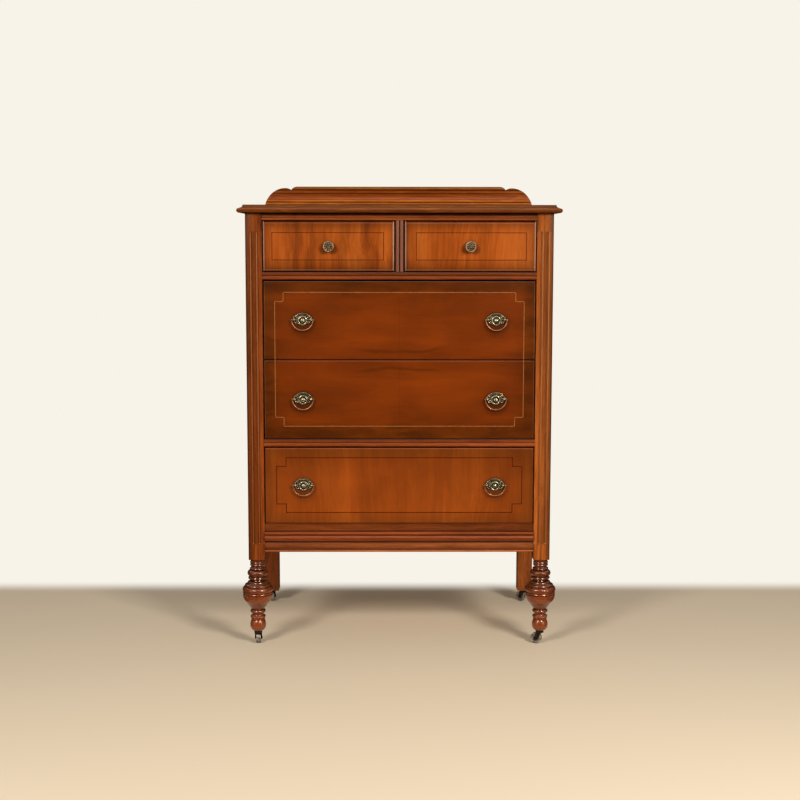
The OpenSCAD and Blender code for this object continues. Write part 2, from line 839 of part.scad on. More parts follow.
// Places of the studs through a drawer front, as [x, z]
function is_small(d) = d[5] == small_open;
function pull_z(d) = (d[2] + d[3]) / 2 + (is_small(d) ? 0 : pull_up);
knuckle_gap = 1;
post_x = bail_r - bail_wire / 2 - knuckle_r - knuckle_gap;
function stud_places(d) = is_small(d) ? [[(d[0] + d[1]) / 2, pull_z(d)]]
    : [for (x = [-pull_x, pull_x]) for (s = [-post_x, post_x]) [x + s, pull_z(d)]];

nut_t = 3;
nut_d = 9;
// Stud through the drawer front with a nut behind it, from its face at z = 0
module stud() {
    translate([0, 0, -front_t - nut_t]) cylinder(h = front_t + nut_t + 1, d = stud_d);
    translate([0, 0, -front_t - nut_t]) cylinder(h = nut_t, d = nut_d, $fn = 6);
}

// Round knob with a rounded rim, a dished face, a button in its middle and a waisted
// neck, drawn as [radius, distance out]
knob_foot = 8.7;
knob_foot_t = 1.6;
neck_cove = 4.6;
knob_rim = 2.2;
knob_head = 9.5;
button_r = 5.4;
module knob(d) {
    r = knob_d / 2;
    h = knob_out;
    color(BRASS) translate([(d[0] + d[1]) / 2, y_face, pull_z(d)]) rotate([90, 0, 0]) {
        rotate_extrude() polygon(concat(
            [[0, 0], [knob_foot, 0], [knob_foot, knob_foot_t]],
            arc(knob_foot, knob_foot_t + neck_cove, neck_cove, 270, 180, 6),
            [[knob_foot - neck_cove, h - knob_head]],
            arc(r - knob_rim, h - 2 * knob_rim, knob_rim, -80, 80, 8),
            [[r - 1.6 * knob_rim, h - 1.2 * knob_rim]],
            [[button_r + 1.4, h - 2.4], [button_r, h - 1.4]],
            arc(0, h - 6.2, 6.2, 52, 90, 5)));
        stud();
    }
}

// Ring of half-round section on the face of a backplate, and on it an arched rim that
// keeps only what lies over the pivot
sunk = 0.4;
module plate_ring(r, w) {
    translate([0, 0, plate_t]) rotate_extrude() translate([r, 0]) intersection() {
        circle(w, $fn = 24);
        translate([-w - 1, -sunk]) square([2 * w + 2, w + 1]);
    }
}

// Backplate with its posts, for a pull with its pivot at the origin of XZ: an arch over a
// round boss, with a small scroll over a large one at each side
boss_low = 2.6;
rim_w = 1;
ring_w = 1.9;
ring_in = 3.2;
dome_r = 6.4;
dome_h = 2.8;
scroll_w = 1.2;
scroll_ball = 1.9;
scroll_low = 4.2;
scroll_x = boss_r + scroll_r / 4;
small_scroll_r = 3.6;
small_scroll_x = 13.6;
small_scroll_up = 6.6;
pad = 1.4;
module backplate() {
    arch_y = arch_up - arch_r;
    dome_ball = (pow(dome_r, 2) + pow(dome_h, 2)) / (2 * dome_h);
    rotate([90, 0, 0]) {
        linear_extrude(plate_t) {
            intersection() {
                translate([0, arch_y]) circle(arch_r, $fn = 96);
                translate([-arch_r, -1]) square([2 * arch_r, arch_up + 2]);
            }
            translate([0, -boss_low]) circle(boss_r);
            for (s = [-1, 1]) {
                translate([s * scroll_x, -scroll_low]) circle(scroll_r);
                translate([s * post_x, 0]) circle(knuckle_r + pad);
            }
        }
        // Rim that follows the arch
        intersection() {
            translate([0, arch_y, 0]) plate_ring(arch_r - rim_w - 0.3, rim_w, $fn = 96);
            translate([-arch_r, 0, 0]) cube([2 * arch_r, arch_up + 1, plate_t + 2 * rim_w]);
        }
        // Low dome inside a bold ring, and a fine ring round the boss
        translate([0, -boss_low, 0]) {
            plate_ring(boss_r - rim_w - 0.2, rim_w);
            plate_ring(boss_r - ring_in, ring_w);
            translate([0, 0, plate_t]) intersection() {
                translate([0, 0, dome_h - dome_ball]) sphere(dome_ball);
                translate([0, 0, -sunk]) cylinder(h = dome_h + 1, r = dome_r);
            }
        }
        // Scrolls, each a ring round a small ball
        for (s = [-1, 1]) {
            translate([s * scroll_x, -scroll_low, 0]) {
                plate_ring(scroll_r - scroll_w - 0.2, scroll_w);
                translate([0, 0, plate_t]) sphere(scroll_ball);
            }
            translate([s * small_scroll_x, small_scroll_up, 0]) {
                plate_ring(small_scroll_r - rim_w, rim_w);
                translate([0, 0, plate_t]) sphere(rim_w);
            }
        }
        // Posts with knuckles
        for (s = [-1, 1]) translate([s * post_x, 0, 0]) {
            cylinder(h = pivot_out, r = knuckle_r * 0.7);
            translate([0, 0, plate_t]) cylinder(h = 1.2, r = knuckle_r);
            translate([0, 0, pivot_out]) sphere(knuckle_r);
            stud();
        }
    }
}

module pull_plates(d) {
    color(BRASS) difference() {
        for (x = [-pull_x, pull_x]) translate([x, y_face, pull_z(d)]) backplate();
        for (x = [-pull_x, pull_x]) for (s = [-post_x, post_x])
            translate([x + s, y_face - pivot_out, pull_z(d)]) rotate([0, 90, 0])
                cylinder(h = 3 * knuckle_r, d = pin_d + 2 * run_fit, center = true);
    }
}

// Bail: a half ring of wire, with an eye and a pin at each end. The pins reach this far
// past the middle of the knuckles.
pin_past = 2.6;
eye_more = 0.5;
module bail(d, x) {
    eye_r = bail_wire / 2 + eye_more;
    pin_l = bail_r - post_x + pin_past;
    color(BRASS) translate([x, y_face - pivot_out, pull_z(d)]) {
        rotate([90, 0, 0]) rotate([0, 0, 180]) rotate_extrude(angle = 180, $fn = 96)
            translate([bail_r, 0]) circle(d = bail_wire);
        for (s = [-1, 1]) {
            translate([s * bail_r, 0, 0]) sphere(eye_r);
            translate([s * bail_r, 0, 0]) rotate([0, -s * 90, 0]) cylinder(h = pin_l, d = pin_d);
        }
    }
}

// Casters as [x, y, turn] at the four corners
flange_t = 1.2;
flange_r = 11;
caster_gap = 0.3;
CASTERS = [
    [-x_post, yf + post / 2, 0],
    [x_post, yf + post / 2, turn_front],
    [-x_post, yb - post / 2, 0],
    [x_post, yb - post / 2, turn_rear]];

// Horn of a caster: a stem, a crown and two cheeks that hold the axle
module horn(p) {
    r = wheel_d / 2;
    gap = wheel_w / 2 + caster_gap;
    z_crown = wheel_d + 1;
    crown_t = caster_h - flange_t - caster_gap - z_crown;
    color(STEEL) translate([p[0], p[1], 0]) rotate([0, 0, p[2]]) {
        translate([0, 0, z_crown]) cylinder(h = crown_t, r = flange_r - 1);
        translate([0, 0, z_crown]) cylinder(h = caster_h + socket_l - 2 - z_crown, d = stem_d);
        for (s = [-1, 1]) {
            x = s > 0 ? gap : -gap - horn_t;
            along_x(x, x + horn_t) {
                polygon([[trail - r * 0.3, r], [trail + r * 0.3, r],
                         [trail * 0.8, z_crown + crown_t / 2], [-trail * 0.8, z_crown + crown_t / 2]]);
                translate([trail, r]) circle(r * 0.34);
            }
        }
        translate([0, trail, r]) rotate([0, 90, 0]) {
            cylinder(h = 2 * gap + 2 * horn_t, d = axle_d, center = true);
            for (s = [-1, 1]) translate([0, 0, s * (gap + horn_t + 0.5)])
                cylinder(h = 1.2, d = axle_d * 1.6, center = true);
        }
    }
}

module wheel(p) {
    r = wheel_d / 2;
    w = wheel_w / 2;
    color(STEEL) translate([p[0], p[1], 0]) rotate([0, 0, p[2]])
        translate([0, trail, r]) rotate([0, 90, 0]) rotate_extrude() {
            difference() {
                union() {
                    translate([axle_d / 2 + run_fit, -w]) square([r - axle_d / 2 - run_fit - 1.5, 2 * w]);
                    translate([axle_d / 2 + run_fit, -w + 1.5])
                        square([r - axle_d / 2 - run_fit, 2 * w - 3]);
                    for (s = [-1, 1]) translate([r - 1.5, s * (w - 1.5)]) circle(1.5);
                }
                for (s = [-1, 1]) translate([r * 0.58, s * (w + 1.2)]) circle(2.4);
            }
        }
}

mirror([1, 0, 0]) front_post();  // left_front_post
front_post();  // right_front_post
mirror([1, 0, 0]) rear_post();  // left_rear_post
rear_post();  // right_rear_post
mirror([1, 0, 0]) turned_leg();  // left_front_leg
turned_leg();  // right_front_leg
mirror([1, 0, 0]) side_panel();  // left_side_panel
side_panel();  // right_side_panel
mirror([1, 0, 0]) side_rails();  // left_side_rails
side_rails();  // right_side_rails
back_panel();
top_board();
backsplash();
top_rail();
centre_muntin();
divider_rail(FRONT_RAILS[3]);  // upper_divider_rail
hidden_divider_rail();
divider_rail(FRONT_RAILS[1]);  // lower_divider_rail
bottom_rail();
base_moulding();
apron();
rear_rails();
drawer_runners();
drawer_guides();
dust_panels();
caster_sockets();
drawer_front(DRAWERS[0]);  // top_left_drawer_front
drawer_box(DRAWERS[0]);  // top_left_drawer_box
drawer_bottom(DRAWERS[0]);  // top_left_drawer_bottom
knob(DRAWERS[0]);  // left_knob
drawer_front(DRAWERS[1]);  // top_right_drawer_front
drawer_box(DRAWERS[1]);  // top_right_drawer_box
drawer_bottom(DRAWERS[1]);  // top_right_drawer_bottom
knob(DRAWERS[1]);  // right_knob
drawer_front(DRAWERS[2]);  // upper_drawer_front
drawer_box(DRAWERS[2]);  // upper_drawer_box
drawer_bottom(DRAWERS[2]);  // upper_drawer_bottom
pull_plates(DRAWERS[2]);  // upper_pull_plates
bail(DRAWERS[2], -pull_x);  // upper_left_bail
bail(DRAWERS[2], pull_x);  // upper_right_bail
drawer_front(DRAWERS[3]);  // middle_drawer_front
drawer_box(DRAWERS[3]);  // middle_drawer_box
drawer_bottom(DRAWERS[3]);  // middle_drawer_bottom
pull_plates(DRAWERS[3]);  // middle_pull_plates
bail(DRAWERS[3], -pull_x);  // middle_left_bail
bail(DRAWERS[3], pull_x);  // middle_right_bail
drawer_front(DRAWERS[4]);  // bottom_drawer_front
drawer_box(DRAWERS[4]);  // bottom_drawer_box
drawer_bottom(DRAWERS[4]);  // bottom_drawer_bottom
pull_plates(DRAWERS[4]);  // bottom_pull_plates
bail(DRAWERS[4], -pull_x);  // bottom_left_bail
bail(DRAWERS[4], pull_x);  // bottom_right_bail
horn(CASTERS[0]);  // left_front_horn
horn(CASTERS[1]);  // right_front_horn
horn(CASTERS[2]);  // left_rear_horn
horn(CASTERS[3]);  // right_rear_horn
wheel(CASTERS[0]);  // left_front_wheel
wheel(CASTERS[1]);  // right_front_wheel
wheel(CASTERS[2]);  // left_rear_wheel
wheel(CASTERS[3]);  // right_rear_wheel
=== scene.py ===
# %% [markdown]
# # A tall chest of drawers in lacquered walnut
# The solid parts of this chest come from a CAD model in real sizes. This script adds
# what CAD leaves out: the walnut figure and its lacquer, the inlaid strings, the
# chasing on the brasses, the light and the camera.
#
# The frame is loaded first. Its nodes are never moved or reshaped, so every piece made
# here can be placed by reading where the CAD parts are.

# %% Load the frame
import math

import bpy
from mathutils import Matrix, Vector


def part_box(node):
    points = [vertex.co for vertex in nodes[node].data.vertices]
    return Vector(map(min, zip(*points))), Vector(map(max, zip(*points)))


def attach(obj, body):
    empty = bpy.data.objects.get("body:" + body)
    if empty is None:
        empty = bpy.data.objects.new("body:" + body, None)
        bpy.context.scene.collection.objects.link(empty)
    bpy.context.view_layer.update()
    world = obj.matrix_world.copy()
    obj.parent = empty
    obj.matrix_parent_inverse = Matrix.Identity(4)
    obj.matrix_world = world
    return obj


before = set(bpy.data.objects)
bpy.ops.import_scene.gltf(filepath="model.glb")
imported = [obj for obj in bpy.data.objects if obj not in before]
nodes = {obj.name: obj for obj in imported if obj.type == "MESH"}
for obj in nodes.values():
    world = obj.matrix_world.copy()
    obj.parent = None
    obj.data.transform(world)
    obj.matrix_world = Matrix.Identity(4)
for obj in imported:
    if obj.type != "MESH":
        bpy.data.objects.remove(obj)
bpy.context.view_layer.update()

# %% [markdown]
# ## The camera
# The photograph was taken from a little over a metre up, looking slightly down. Its
# place was worked out from the corners of the chest, whose sizes are known, so that the
# picture falls into line with the photograph without shifting the lens.

# %% Set the camera
CAMERA_AT = (-0.02255, -3.67306, 1.02642)
PITCH_DOWN = math.radians(6.5045)
YAW = math.radians(0.4005)
ROLL = math.radians(0.071)
LENS, SENSOR = 62.166, 36


def placed(name, data):
    """An object of some data, linked to the scene."""
    thing = bpy.data.objects.new(name, data)
    bpy.context.scene.collection.objects.link(thing)
    return thing


ahead = (math.sin(YAW) * math.cos(PITCH_DOWN), math.cos(YAW) * math.cos(PITCH_DOWN), -math.sin(PITCH_DOWN))
forward = Vector(ahead)
right = Vector((math.cos(YAW), -math.sin(YAW), 0))
up = right.cross(forward)
cos_roll, sin_roll = math.cos(ROLL), math.sin(ROLL)
right, up = right * cos_roll + up * sin_roll, up * cos_roll - right * sin_roll
camera = placed("camera", bpy.data.cameras.new("camera"))
camera.matrix_world = Matrix.Translation(CAMERA_AT) @ Matrix((right, up, -forward)).transposed().to_4x4()
camera.data.lens = LENS
camera.data.sensor_width = SENSOR
bpy.context.scene.camera = camera
bpy.context.scene.view_settings.view_transform = "Standard"
print("the lens is", LENS, "mm, and the camera is", -CAMERA_AT[1], "m in front")

# %% [markdown]
# ## The light
# The photograph shows two highlights on every ring of the legs, one to each side. From
# how far apart they lie on the round of each leg follows where the two lamps stood: left
# and right of the camera, a little over it. The right one is stronger. A soft box is an
# area lamp, and the larger it is, the softer the edge of its shadow. The world fills the
# rest, and to the camera it shows as a pale backdrop.
#
# Tall strips out to the sides, and a long one overhead, are there for the gloss alone:
# upright edges and flutes mirror what stands low, and nosings what hangs high. They stand
# too far out for the faces of the posts to mirror them.

# %% Set the lamps and the world
def hex_rgb(code):
    """The linear colour of an sRGB hex code, as a material wants it."""
    parts = [int(code[i:i + 2], 16) / 255 for i in (1, 3, 5)]
    return (*[v / 12.92 if v <= 0.04045 else ((v + 0.055) / 1.055) ** 2.4 for v in parts], 1)


def add(tree, kind, inputs=(), stops=(), **settings):
    """Adds one node. A kind without Node in it is a shader node, so Math is ShaderNodeMath.

    Inputs are a list in the order of the sockets, or a dictionary by name or number. Each
    takes a value, a socket to link, or a node whose first output is linked. The sockets of
    MapRange are its value, the range it comes from and the range it goes to. Stops are
    the positions and colours of a colour ramp."""
    node = tree.nodes.new(kind if "Node" in kind else "ShaderNode" + kind)
    for name, value in settings.items():
        setattr(node, name, value)
    for key, value in inputs.items() if isinstance(inputs, dict) else enumerate(inputs):
        if isinstance(value, bpy.types.Node):
            value = value.outputs[0]
        if isinstance(value, bpy.types.NodeSocket):
            tree.links.new(value, node.inputs[key])
        else:
            node.inputs[key].default_value = value
    for number, (position, colour) in enumerate(stops):
        elements = node.color_ramp.elements
        stop = elements[number] if number < len(elements) else elements.new(1)
        stop.position, stop.color = position, colour
    return node


AIM = Vector((0, -0.2, 0.72))
# Name, place, width and height in metres, watts and colour
LAMPS = (
    ("soft_box_left", (-1.48, -2.53, 1.8), (0.66, 0.66), 48, "#fff6ea"),
    ("soft_box_right", (1.48, -2.53, 1.8), (0.66, 0.66), 68, "#fff6ea"),
    ("strip_left", (-3.1, -2.5, 0.8), (0.6, 1.6), 14, "#fff1e2"),
    ("strip_right", (3.1, -2.5, 0.8), (0.6, 1.6), 20, "#fff1e2"),
    ("strip_overhead", (0.15, -2.9, 3.4), (1.2, 0.6), 9, "#fff1e2"),
)
for name, place, size, watts, tint in LAMPS:
    lamp = placed(name, bpy.data.lights.new(name, "AREA"))
    lamp.location = place
    lamp.rotation_euler = (AIM - Vector(place)).to_track_quat("-Z", "Y").to_euler()
    lamp.data.shape = "RECTANGLE"
    lamp.data.size, lamp.data.size_y = size
    lamp.data.energy = watts
    lamp.data.color = hex_rgb(tint)[:3]
    lamp.visible_camera = False
    lamp.visible_diffuse = name.startswith("soft_box")

BACKDROP = hex_rgb("#f7f3e9")
FILL_STRENGTH = 0.27
world = bpy.data.worlds.new("studio")
bpy.context.scene.world = world
world.use_nodes = True
tree = world.node_tree
tree.nodes.clear()
ray = add(tree, "LightPath")
seen = add(tree, "Math", [ray.outputs["Is Camera Ray"], ray.outputs["Is Glossy Ray"]], operation="MAXIMUM")
seen = add(tree, "Math", [seen, ray.outputs["Is Transmission Ray"]], operation="MAXIMUM")
fill = add(tree, "Background", {"Color": hex_rgb("#fff8ef"), "Strength": FILL_STRENGTH})
shown = add(tree, "Background", {"Color": BACKDROP, "Strength": 1.0})
add(tree, "OutputWorld", {"Surface": add(tree, "MixShader", [seen, fill, shown])})
print(len(LAMPS), "lamps, and a world of strength", FILL_STRENGTH)

# %% [markdown]
# ## The floor
# The floor is one plain sheet. Close to the chest it is a pale stone colour that
# catches the shadow. From 8 to 22 cm behind the chest, where the photograph has its
# white wall, and far out to the sides it turns into the backdrop's own light, as a paper
# sweep does, so that no horizon cuts the picture.
#
# The room round the camera was dark, which is why the flat fronts keep their deep
# colour. Dark cards stand there for that, as a photographer's flags do: upright ones all
# round, and flat ones on the floor. Only reflections see them. Over them it is light.

# %% Lay the floor
FLOOR_HALF, FLOOR_Z = 12, -0.0005
ROOM_HALF, CARD_Z, CARD_TOP = 4.3, 0.001, 3.1
# The flat cards leave a hole round the chest: left, right, front and back
HOLE = (-0.5, 0.5, -0.38, 0.36)
# The floor fades to the backdrop between these distances from the middle, and behind the chest
FADE_OUT, FADE_BEHIND = (1.2, 3.4), (0.32, 0.46)


def level_square(half, height):
    """The corners of a level square about the middle."""
    return [(x, y, height) for x, y in ((-half, -half), (half, -half), (half, half), (-half, half))]


def drawn(name, points, edges, faces):
    """An object made of these points, edges and faces."""
    mesh = bpy.data.meshes.new(name)
    mesh.from_pydata(points, edges, faces)
    return placed(name, mesh)


def blank(name):
    """A material without nodes, its tree, and the place of a point on the object."""
    material = bpy.data.materials.new(name)
    material.use_nodes = True
    tree = material.node_tree
    tree.nodes.clear()
    return material, tree, add(tree, "TexCoord").outputs["Object"]


floor = drawn("floor", level_square(FLOOR_HALF, FLOOR_Z), [], [(0, 1, 2, 3)])
stone, tree, place = blank("pale floor")
reach = add(tree, "VectorMath", [place], operation="LENGTH").outputs["Value"]
depth = add(tree, "SeparateXYZ", [place]).outputs["Y"]
fade, behind = (
    add(tree, "MapRange", [far, start, end], interpolation_type="SMOOTHSTEP")
    for far, (start, end) in ((reach, FADE_OUT), (depth, FADE_BEHIND))
)
fade = add(tree, "Math", [fade, behind], operation="MAXIMUM")
lit = add(tree, "BsdfDiffuse", {"Color": hex_rgb("#dccfb9")})
glow = add(tree, "Emission", {"Color": BACKDROP, "Strength": 1.0})
part = add(tree, "Math", [add(tree, "LightPath").outputs["Is Camera Ray"], fade], operation="MULTIPLY")
add(tree, "OutputMaterial", {"Surface": add(tree, "MixShader", [part, lit, glow])})
floor.data.materials.append(stone)

hole = [(HOLE[0], HOLE[2]), (HOLE[1], HOLE[2]), (HOLE[1], HOLE[3]), (HOLE[0], HOLE[3])]
points = level_square(ROOM_HALF, CARD_Z) + [(x, y, CARD_Z) for x, y in hole]
points += level_square(ROOM_HALF, CARD_TOP)
around = [(i, (i + 1) % 4) for i in range(4)]
cards = drawn("dark_cards", points, [], [(i, j, j + ring, i + ring) for ring in (4, 8) for i, j in around])
felt, tree, place = blank("black felt")
shader = add(tree, "BsdfPrincipled", {"Base Color": hex_rgb("#1c1611"), "Roughness": 1})
add(tree, "OutputMaterial", {"Surface": shader})
cards.data.materials.append(felt)
cards.visible_camera = cards.visible_diffuse = cards.visible_shadow = False
print("the floor reaches", FLOOR_HALF, "m each way")

# %% [markdown]
# ## Walnut under lacquer
# The show wood of the chest is American walnut, as solid stock in the frame and as
# thin sheets of veneer on the fronts. It was stained red-brown, filled, and sprayed
# with glossy lacquer. A tinted lacquer, the toner, was blown darker along the edges.
#
# The grain is built from four patterns that are long along the wood and short across
# it: clouds of figure 60 mm wide, streaks 7 mm wide, fibres 2.5 mm wide, and pores.
# Real pores are 0.2 mm wide and would vanish in the picture, so they are drawn 1 mm
# wide. One group of nodes holds the patterns, because the same wood is on many pieces.
# Its vector is in metres, with Z along the grain, and each pattern's scale is how many of
# its marks go into a metre across, across and along.

# %% Build the grain
def new_group(name, kind, inputs, outputs):
    """A node group with named sockets, each of a kind such as Float, and its input node."""
    group = bpy.data.node_groups.new(name, kind)
    for way, sockets in (("INPUT", inputs), ("OUTPUT", outputs)):
        for socket, of in sockets.items():
            group.interface.new_socket(socket, in_out=way, socket_type="NodeSocket" + of)
    return group, add(group, "NodeGroupInput")


grain, given = new_group(
    "Walnut grain", "ShaderNodeTree",
    {"Vector": "Vector", "Figure": "Float", "Streaks": "Float", "Pores": "Float"},
    {"Tone": "Float", "Height": "Float"})
layers = {}
for name, scale, detail, bend in (
    ("figure", (17, 17, 2.6), 3, 0.9),  # 59 mm wide, 385 mm long
    ("streaks", (140, 140, 5), 3, 0.5),  # 7 by 200 mm
    ("fibres", (400, 400, 14), 2, 0.2),  # 2.5 by 70 mm
    ("pores", (1000, 1000, 70), 1, 0),  # 1 by 14 mm, coarser than real
):
    spread = add(grain, "VectorMath", [given.outputs["Vector"], scale], operation="MULTIPLY")
    look = {"Vector": spread, "Scale": 1, "Detail": detail, "Roughness": 0.55, "Distortion": bend}
    layers[name] = add(grain, "Math", [add(grain, "TexNoise", look), 0.5], operation="SUBTRACT")
pits = add(grain, "MapRange", [layers["pores"], 0.06, 0.2])
tone = add(grain, "Math", [layers["figure"], given.outputs["Figure"], 0.5], operation="MULTIPLY_ADD")
tone = add(grain, "Math", [layers["streaks"], given.outputs["Streaks"], tone], operation="MULTIPLY_ADD")
fine = add(grain, "Math", [given.outputs["Streaks"], 0.6], operation="MULTIPLY")
tone = add(grain, "Math", [layers["fibres"], fine, tone], operation="MULTIPLY_ADD")
specks = add(grain, "Math", [pits, given.outputs["Pores"]], operation="MULTIPLY")
tone = add(grain, "Math", [tone, specks], operation="SUBTRACT")
height = add(grain, "Math", [pits, -0.5, layers["streaks"]], operation="MULTIPLY_ADD")
add(grain, "NodeGroupOutput", {"Tone": tone, "Height": height})

# The distance from a point to the nearest side of an upright rectangle it lies in
inset, given = new_group(
    "Distance to the edge", "ShaderNodeTree",
    {"Vector": "Vector", "Left": "Float", "Right": "Float", "Low": "Float", "High": "Float"},
    {"Distance": "Float"})
x, _, z = add(inset, "SeparateXYZ", [given.outputs["Vector"]]).outputs
pairs = ((x, "Left"), ("Right", x), (z, "Low"), ("High", z))
gaps = [[given.outputs[v] if isinstance(v, str) else v for v in pair] for pair in pairs]
gaps = [add(inset, "Math", pair, operation="SUBTRACT") for pair in gaps]
while len(gaps) > 1:
    gaps = [add(inset, "Math", gaps[i:i + 2], operation="MINIMUM") for i in range(0, len(gaps), 2)]
add(inset, "NodeGroupOutput", {"Distance": gaps[0]})
print("the grain has", len(grain.nodes), "nodes, the edge group", len(inset.nodes))

# %% [markdown]
# ## Lacquered walnut, in its several cuts
# The function below starts a material: it turns the wood so that its grain runs along
# the piece, gets the tone of the grain, and mixes three colours by it. Sides of a
# piece can be folded on to each other first, which is what a veneer layer does when
# two leaves cut one after the other are opened like a book. Toner and painted shade along
# the edges, in the quirks of mouldings and in the flutes, are multiplied on, and painted
# highlights are laid on in bands and lines.
#
# Lacquer is a clear coat with an IOR of 1.5, and a thin one of white gloss lies over a
# softer sheen that the stain tints orange. It isn't perfectly level, so a shallow bump
# follows the grain under it.

# %% Make the walnut finishes
def away_from(tree, value, middle=0):
    """How far a value is from a middle, on either side."""
    if middle:
        value = add(tree, "Math", [value, middle], operation="SUBTRACT")
    return add(tree, "Math", [value], operation="ABSOLUTE")


FINISH = {}


def walnut(key, name, dark, middle, light, along="Z", fold_x=None, fold_z=None, shift=(0, 0, 0), figure=0.8,
        streaks=0.5, pores=0.08, crevice_shade=0.5):
    """Starts a walnut, kept under its key. Returns its tree, the place, the grain and the colour."""
    FINISH[key], tree, place = blank(name)
    # No leaf of wood is as true as a drawing, so the place is bent by a few millimetres
    bend = add(tree, "TexNoise", {"Vector": place, "Scale": 3.5, "Detail": 2}).outputs["Color"]
    bend = add(tree, "VectorMath", [bend, (0.5, 0.5, 0.5)], operation="SUBTRACT")
    bend = add(tree, "VectorMath", [bend, (0.05, 0.05, 0.05), place], operation="MULTIPLY_ADD")
    x, y, z = add(tree, "SeparateXYZ", [bend]).outputs
    if fold_x is not None:
        x = away_from(tree, x, fold_x)
    if fold_z is not None:
        z = away_from(tree, z, fold_z)
    laid = add(tree, "CombineXYZ", {"X": (z, y, x), "Y": (x, z, y), "Z": (x, y, z)}[along])
    laid = add(tree, "VectorMath", [laid, shift], operation="ADD")
    inputs = {"Vector": laid, "Figure": figure, "Streaks": streaks, "Pores": pores}
    wood = add(tree, "Group", inputs, node_tree=grain)  # its first output is the tone
    stops = [(0.22, hex_rgb(dark)), (0.5, hex_rgb(middle)), (0.8, hex_rgb(light))]
    colour = add(tree, "ValToRGB", [wood], stops)
    if crevice_shade:
        # Toner lies in the quirks, and painted shade darkens them and the places under ledges, which
        # closeness finds
        for reach, low, high in ((0.006, 0.35, 0.9), (0.03, 0.2, 0.85)):
            shut = add(tree, "AmbientOcclusion", {"Distance": reach}, samples=6).outputs["AO"]
            shut = add(tree, "MapRange", [shut, low, high, 1 - crevice_shade, 1])
            colour = add(tree, "VectorMath", {0: colour, "Scale": shut}, operation="SCALE")
    return tree, place, wood, colour


def lacquer(tree, colour, wood, roughness=0.27, level=0.6, bumpy=0.025, coat=0.45, coat_roughness=0.13):
    """Finishes a walnut with its clear coat."""
    bump = add(tree, "Bump", {"Height": wood.outputs["Height"], "Strength": bumpy, "Distance": 0.0006})
    shader = add(tree, "BsdfPrincipled", {
        "Base Color": colour, "Roughness": roughness, "IOR": 1.5, "Specular IOR Level": level,
        "Specular Tint": hex_rgb("#ffba90"), "Coat Weight": coat, "Coat Roughness": coat_roughness,
        "Coat IOR": 1.5, "Normal": bump, "Coat Normal": bump,
    })
    add(tree, "OutputMaterial", {"Surface": shader})


def shade(tree, colour, amount, start, end, dark, light=1.0):
    """Multiplies a colour from dark at start to light at end of an amount."""
    part = add(tree, "MapRange", [amount, start, end, dark, light], interpolation_type="SMOOTHSTEP")
    return add(tree, "VectorMath", {0: colour, "Scale": part}, operation="SCALE")


def toner_and_painted_light(tree, colour, along, start, bands):
    """Multiplies a colour by bands of toner, painted shade and painted highlight, each
    (mm from the start, factor).

    A factor is one number, or three for red, green and blue."""
    bands = [(at, factor if isinstance(factor, tuple) else (factor, factor, factor)) for at, factor in bands]
    span = bands[-1][0] / 1000
    part = add(tree, "MapRange", [along, start, start + span])
    most = max(max(factor) for _, factor in bands)
    stops = [(at / 1000 / span, (*[level / most for level in factor], 1)) for at, factor in bands]
    part = add(tree, "ValToRGB", [part], stops)
    part = add(tree, "VectorMath", {0: part, "Scale": most}, operation="SCALE")
    return add(tree, "VectorMath", [colour, part], operation="MULTIPLY")


def turned_to(tree, way):
    """How far the surface is turned to a direction or to its opposite, from 0 to 1."""
    normal = add(tree, "NewGeometry").outputs["Normal"]
    turned = add(tree, "VectorMath", [normal, way], operation="DOT_PRODUCT").outputs["Value"]
    return add(tree, "Math", [turned], operation="ABSOLUTE")


def beyond(tree, amount, limit, colour, other):
    """Keeps a colour up to a limit of an amount, and takes the other past it."""
    past = add(tree, "Math", [amount, limit], operation="GREATER_THAN")
    return add(tree, "Mix", {"Factor": past, 6: colour, 7: other}, data_type="RGBA").outputs[2]


def painted_highlight_line(tree, colour, distance, near, far, code, part):
    """Mixes in a pale line of painted highlight where a distance, in metres, lies between near and far."""
    first = add(tree, "Math", [distance, near], operation="GREATER_THAN")
    second = add(tree, "Math", [distance, far], operation="LESS_THAN")
    both = add(tree, "Math", [first, second], operation="MULTIPLY")
    both = add(tree, "Math", [both, part], operation="MULTIPLY")
    return add(tree, "Mix", {"Factor": both, 6: colour, 7: hex_rgb(code)}, data_type="RGBA").outputs[2]


def handled_and_shadowed(tree, colour, place, centres, inner, outer, dark):
    """Darkens a soft patch round each centre in XZ: a painted shadow of a knob or a pull."""
    for x, z in centres:
        gap = add(tree, "VectorMath", [place, (x, 0, z)], operation="SUBTRACT")
        gap = add(tree, "VectorMath", [gap, (1, 0, 1)], operation="MULTIPLY")
        gap = add(tree, "VectorMath", [gap], operation="LENGTH").outputs["Value"]
        colour = shade(tree, colour, gap, inner, outer, dark)
    return colour


def clouds(tree, colour, place, scale, low, high):
    """Multiplies a colour by soft clouds between two factors; the scale is per metre on each axis."""
    spread = add(tree, "VectorMath", [place, scale], operation="MULTIPLY")
    look = {"Vector": spread, "Scale": 1, "Detail": 3, "Roughness": 0.5, "Distortion": 0.6}
    return shade(tree, colour, add(tree, "TexNoise", look), 0.34, 0.66, low, high)


# Where the toner's bands start, in metres: the foot of each part, and the sides of the
# posts and the fronts
BASE_FOOT, BOTTOM_FOOT, LOWER_RAIL, WIDE_FOOT = 0.243, 0.318, 0.514, 0.534
UPPER_RAIL, SMALL_FOOT, TOP_RAIL, TOP_FOOT, TOP_FACE = 0.934, 0.9543, 1.081, 1.099, 1.119
LEG_FOOT, POST_SIDE, FRONT_SIDE = 0.035, 0.3415, -0.341
SMALL_HEAD, SMALL_IN, SMALL_OUT = 1.0785, 0.013, 0.3395
# The frames of string: left, right, foot and head
WIDE_STRING = (-0.3113, 0.3113, 0.5667, 0.9028)
BOTTOM_STRING = (-0.310, 0.310, 0.346, 0.4862)
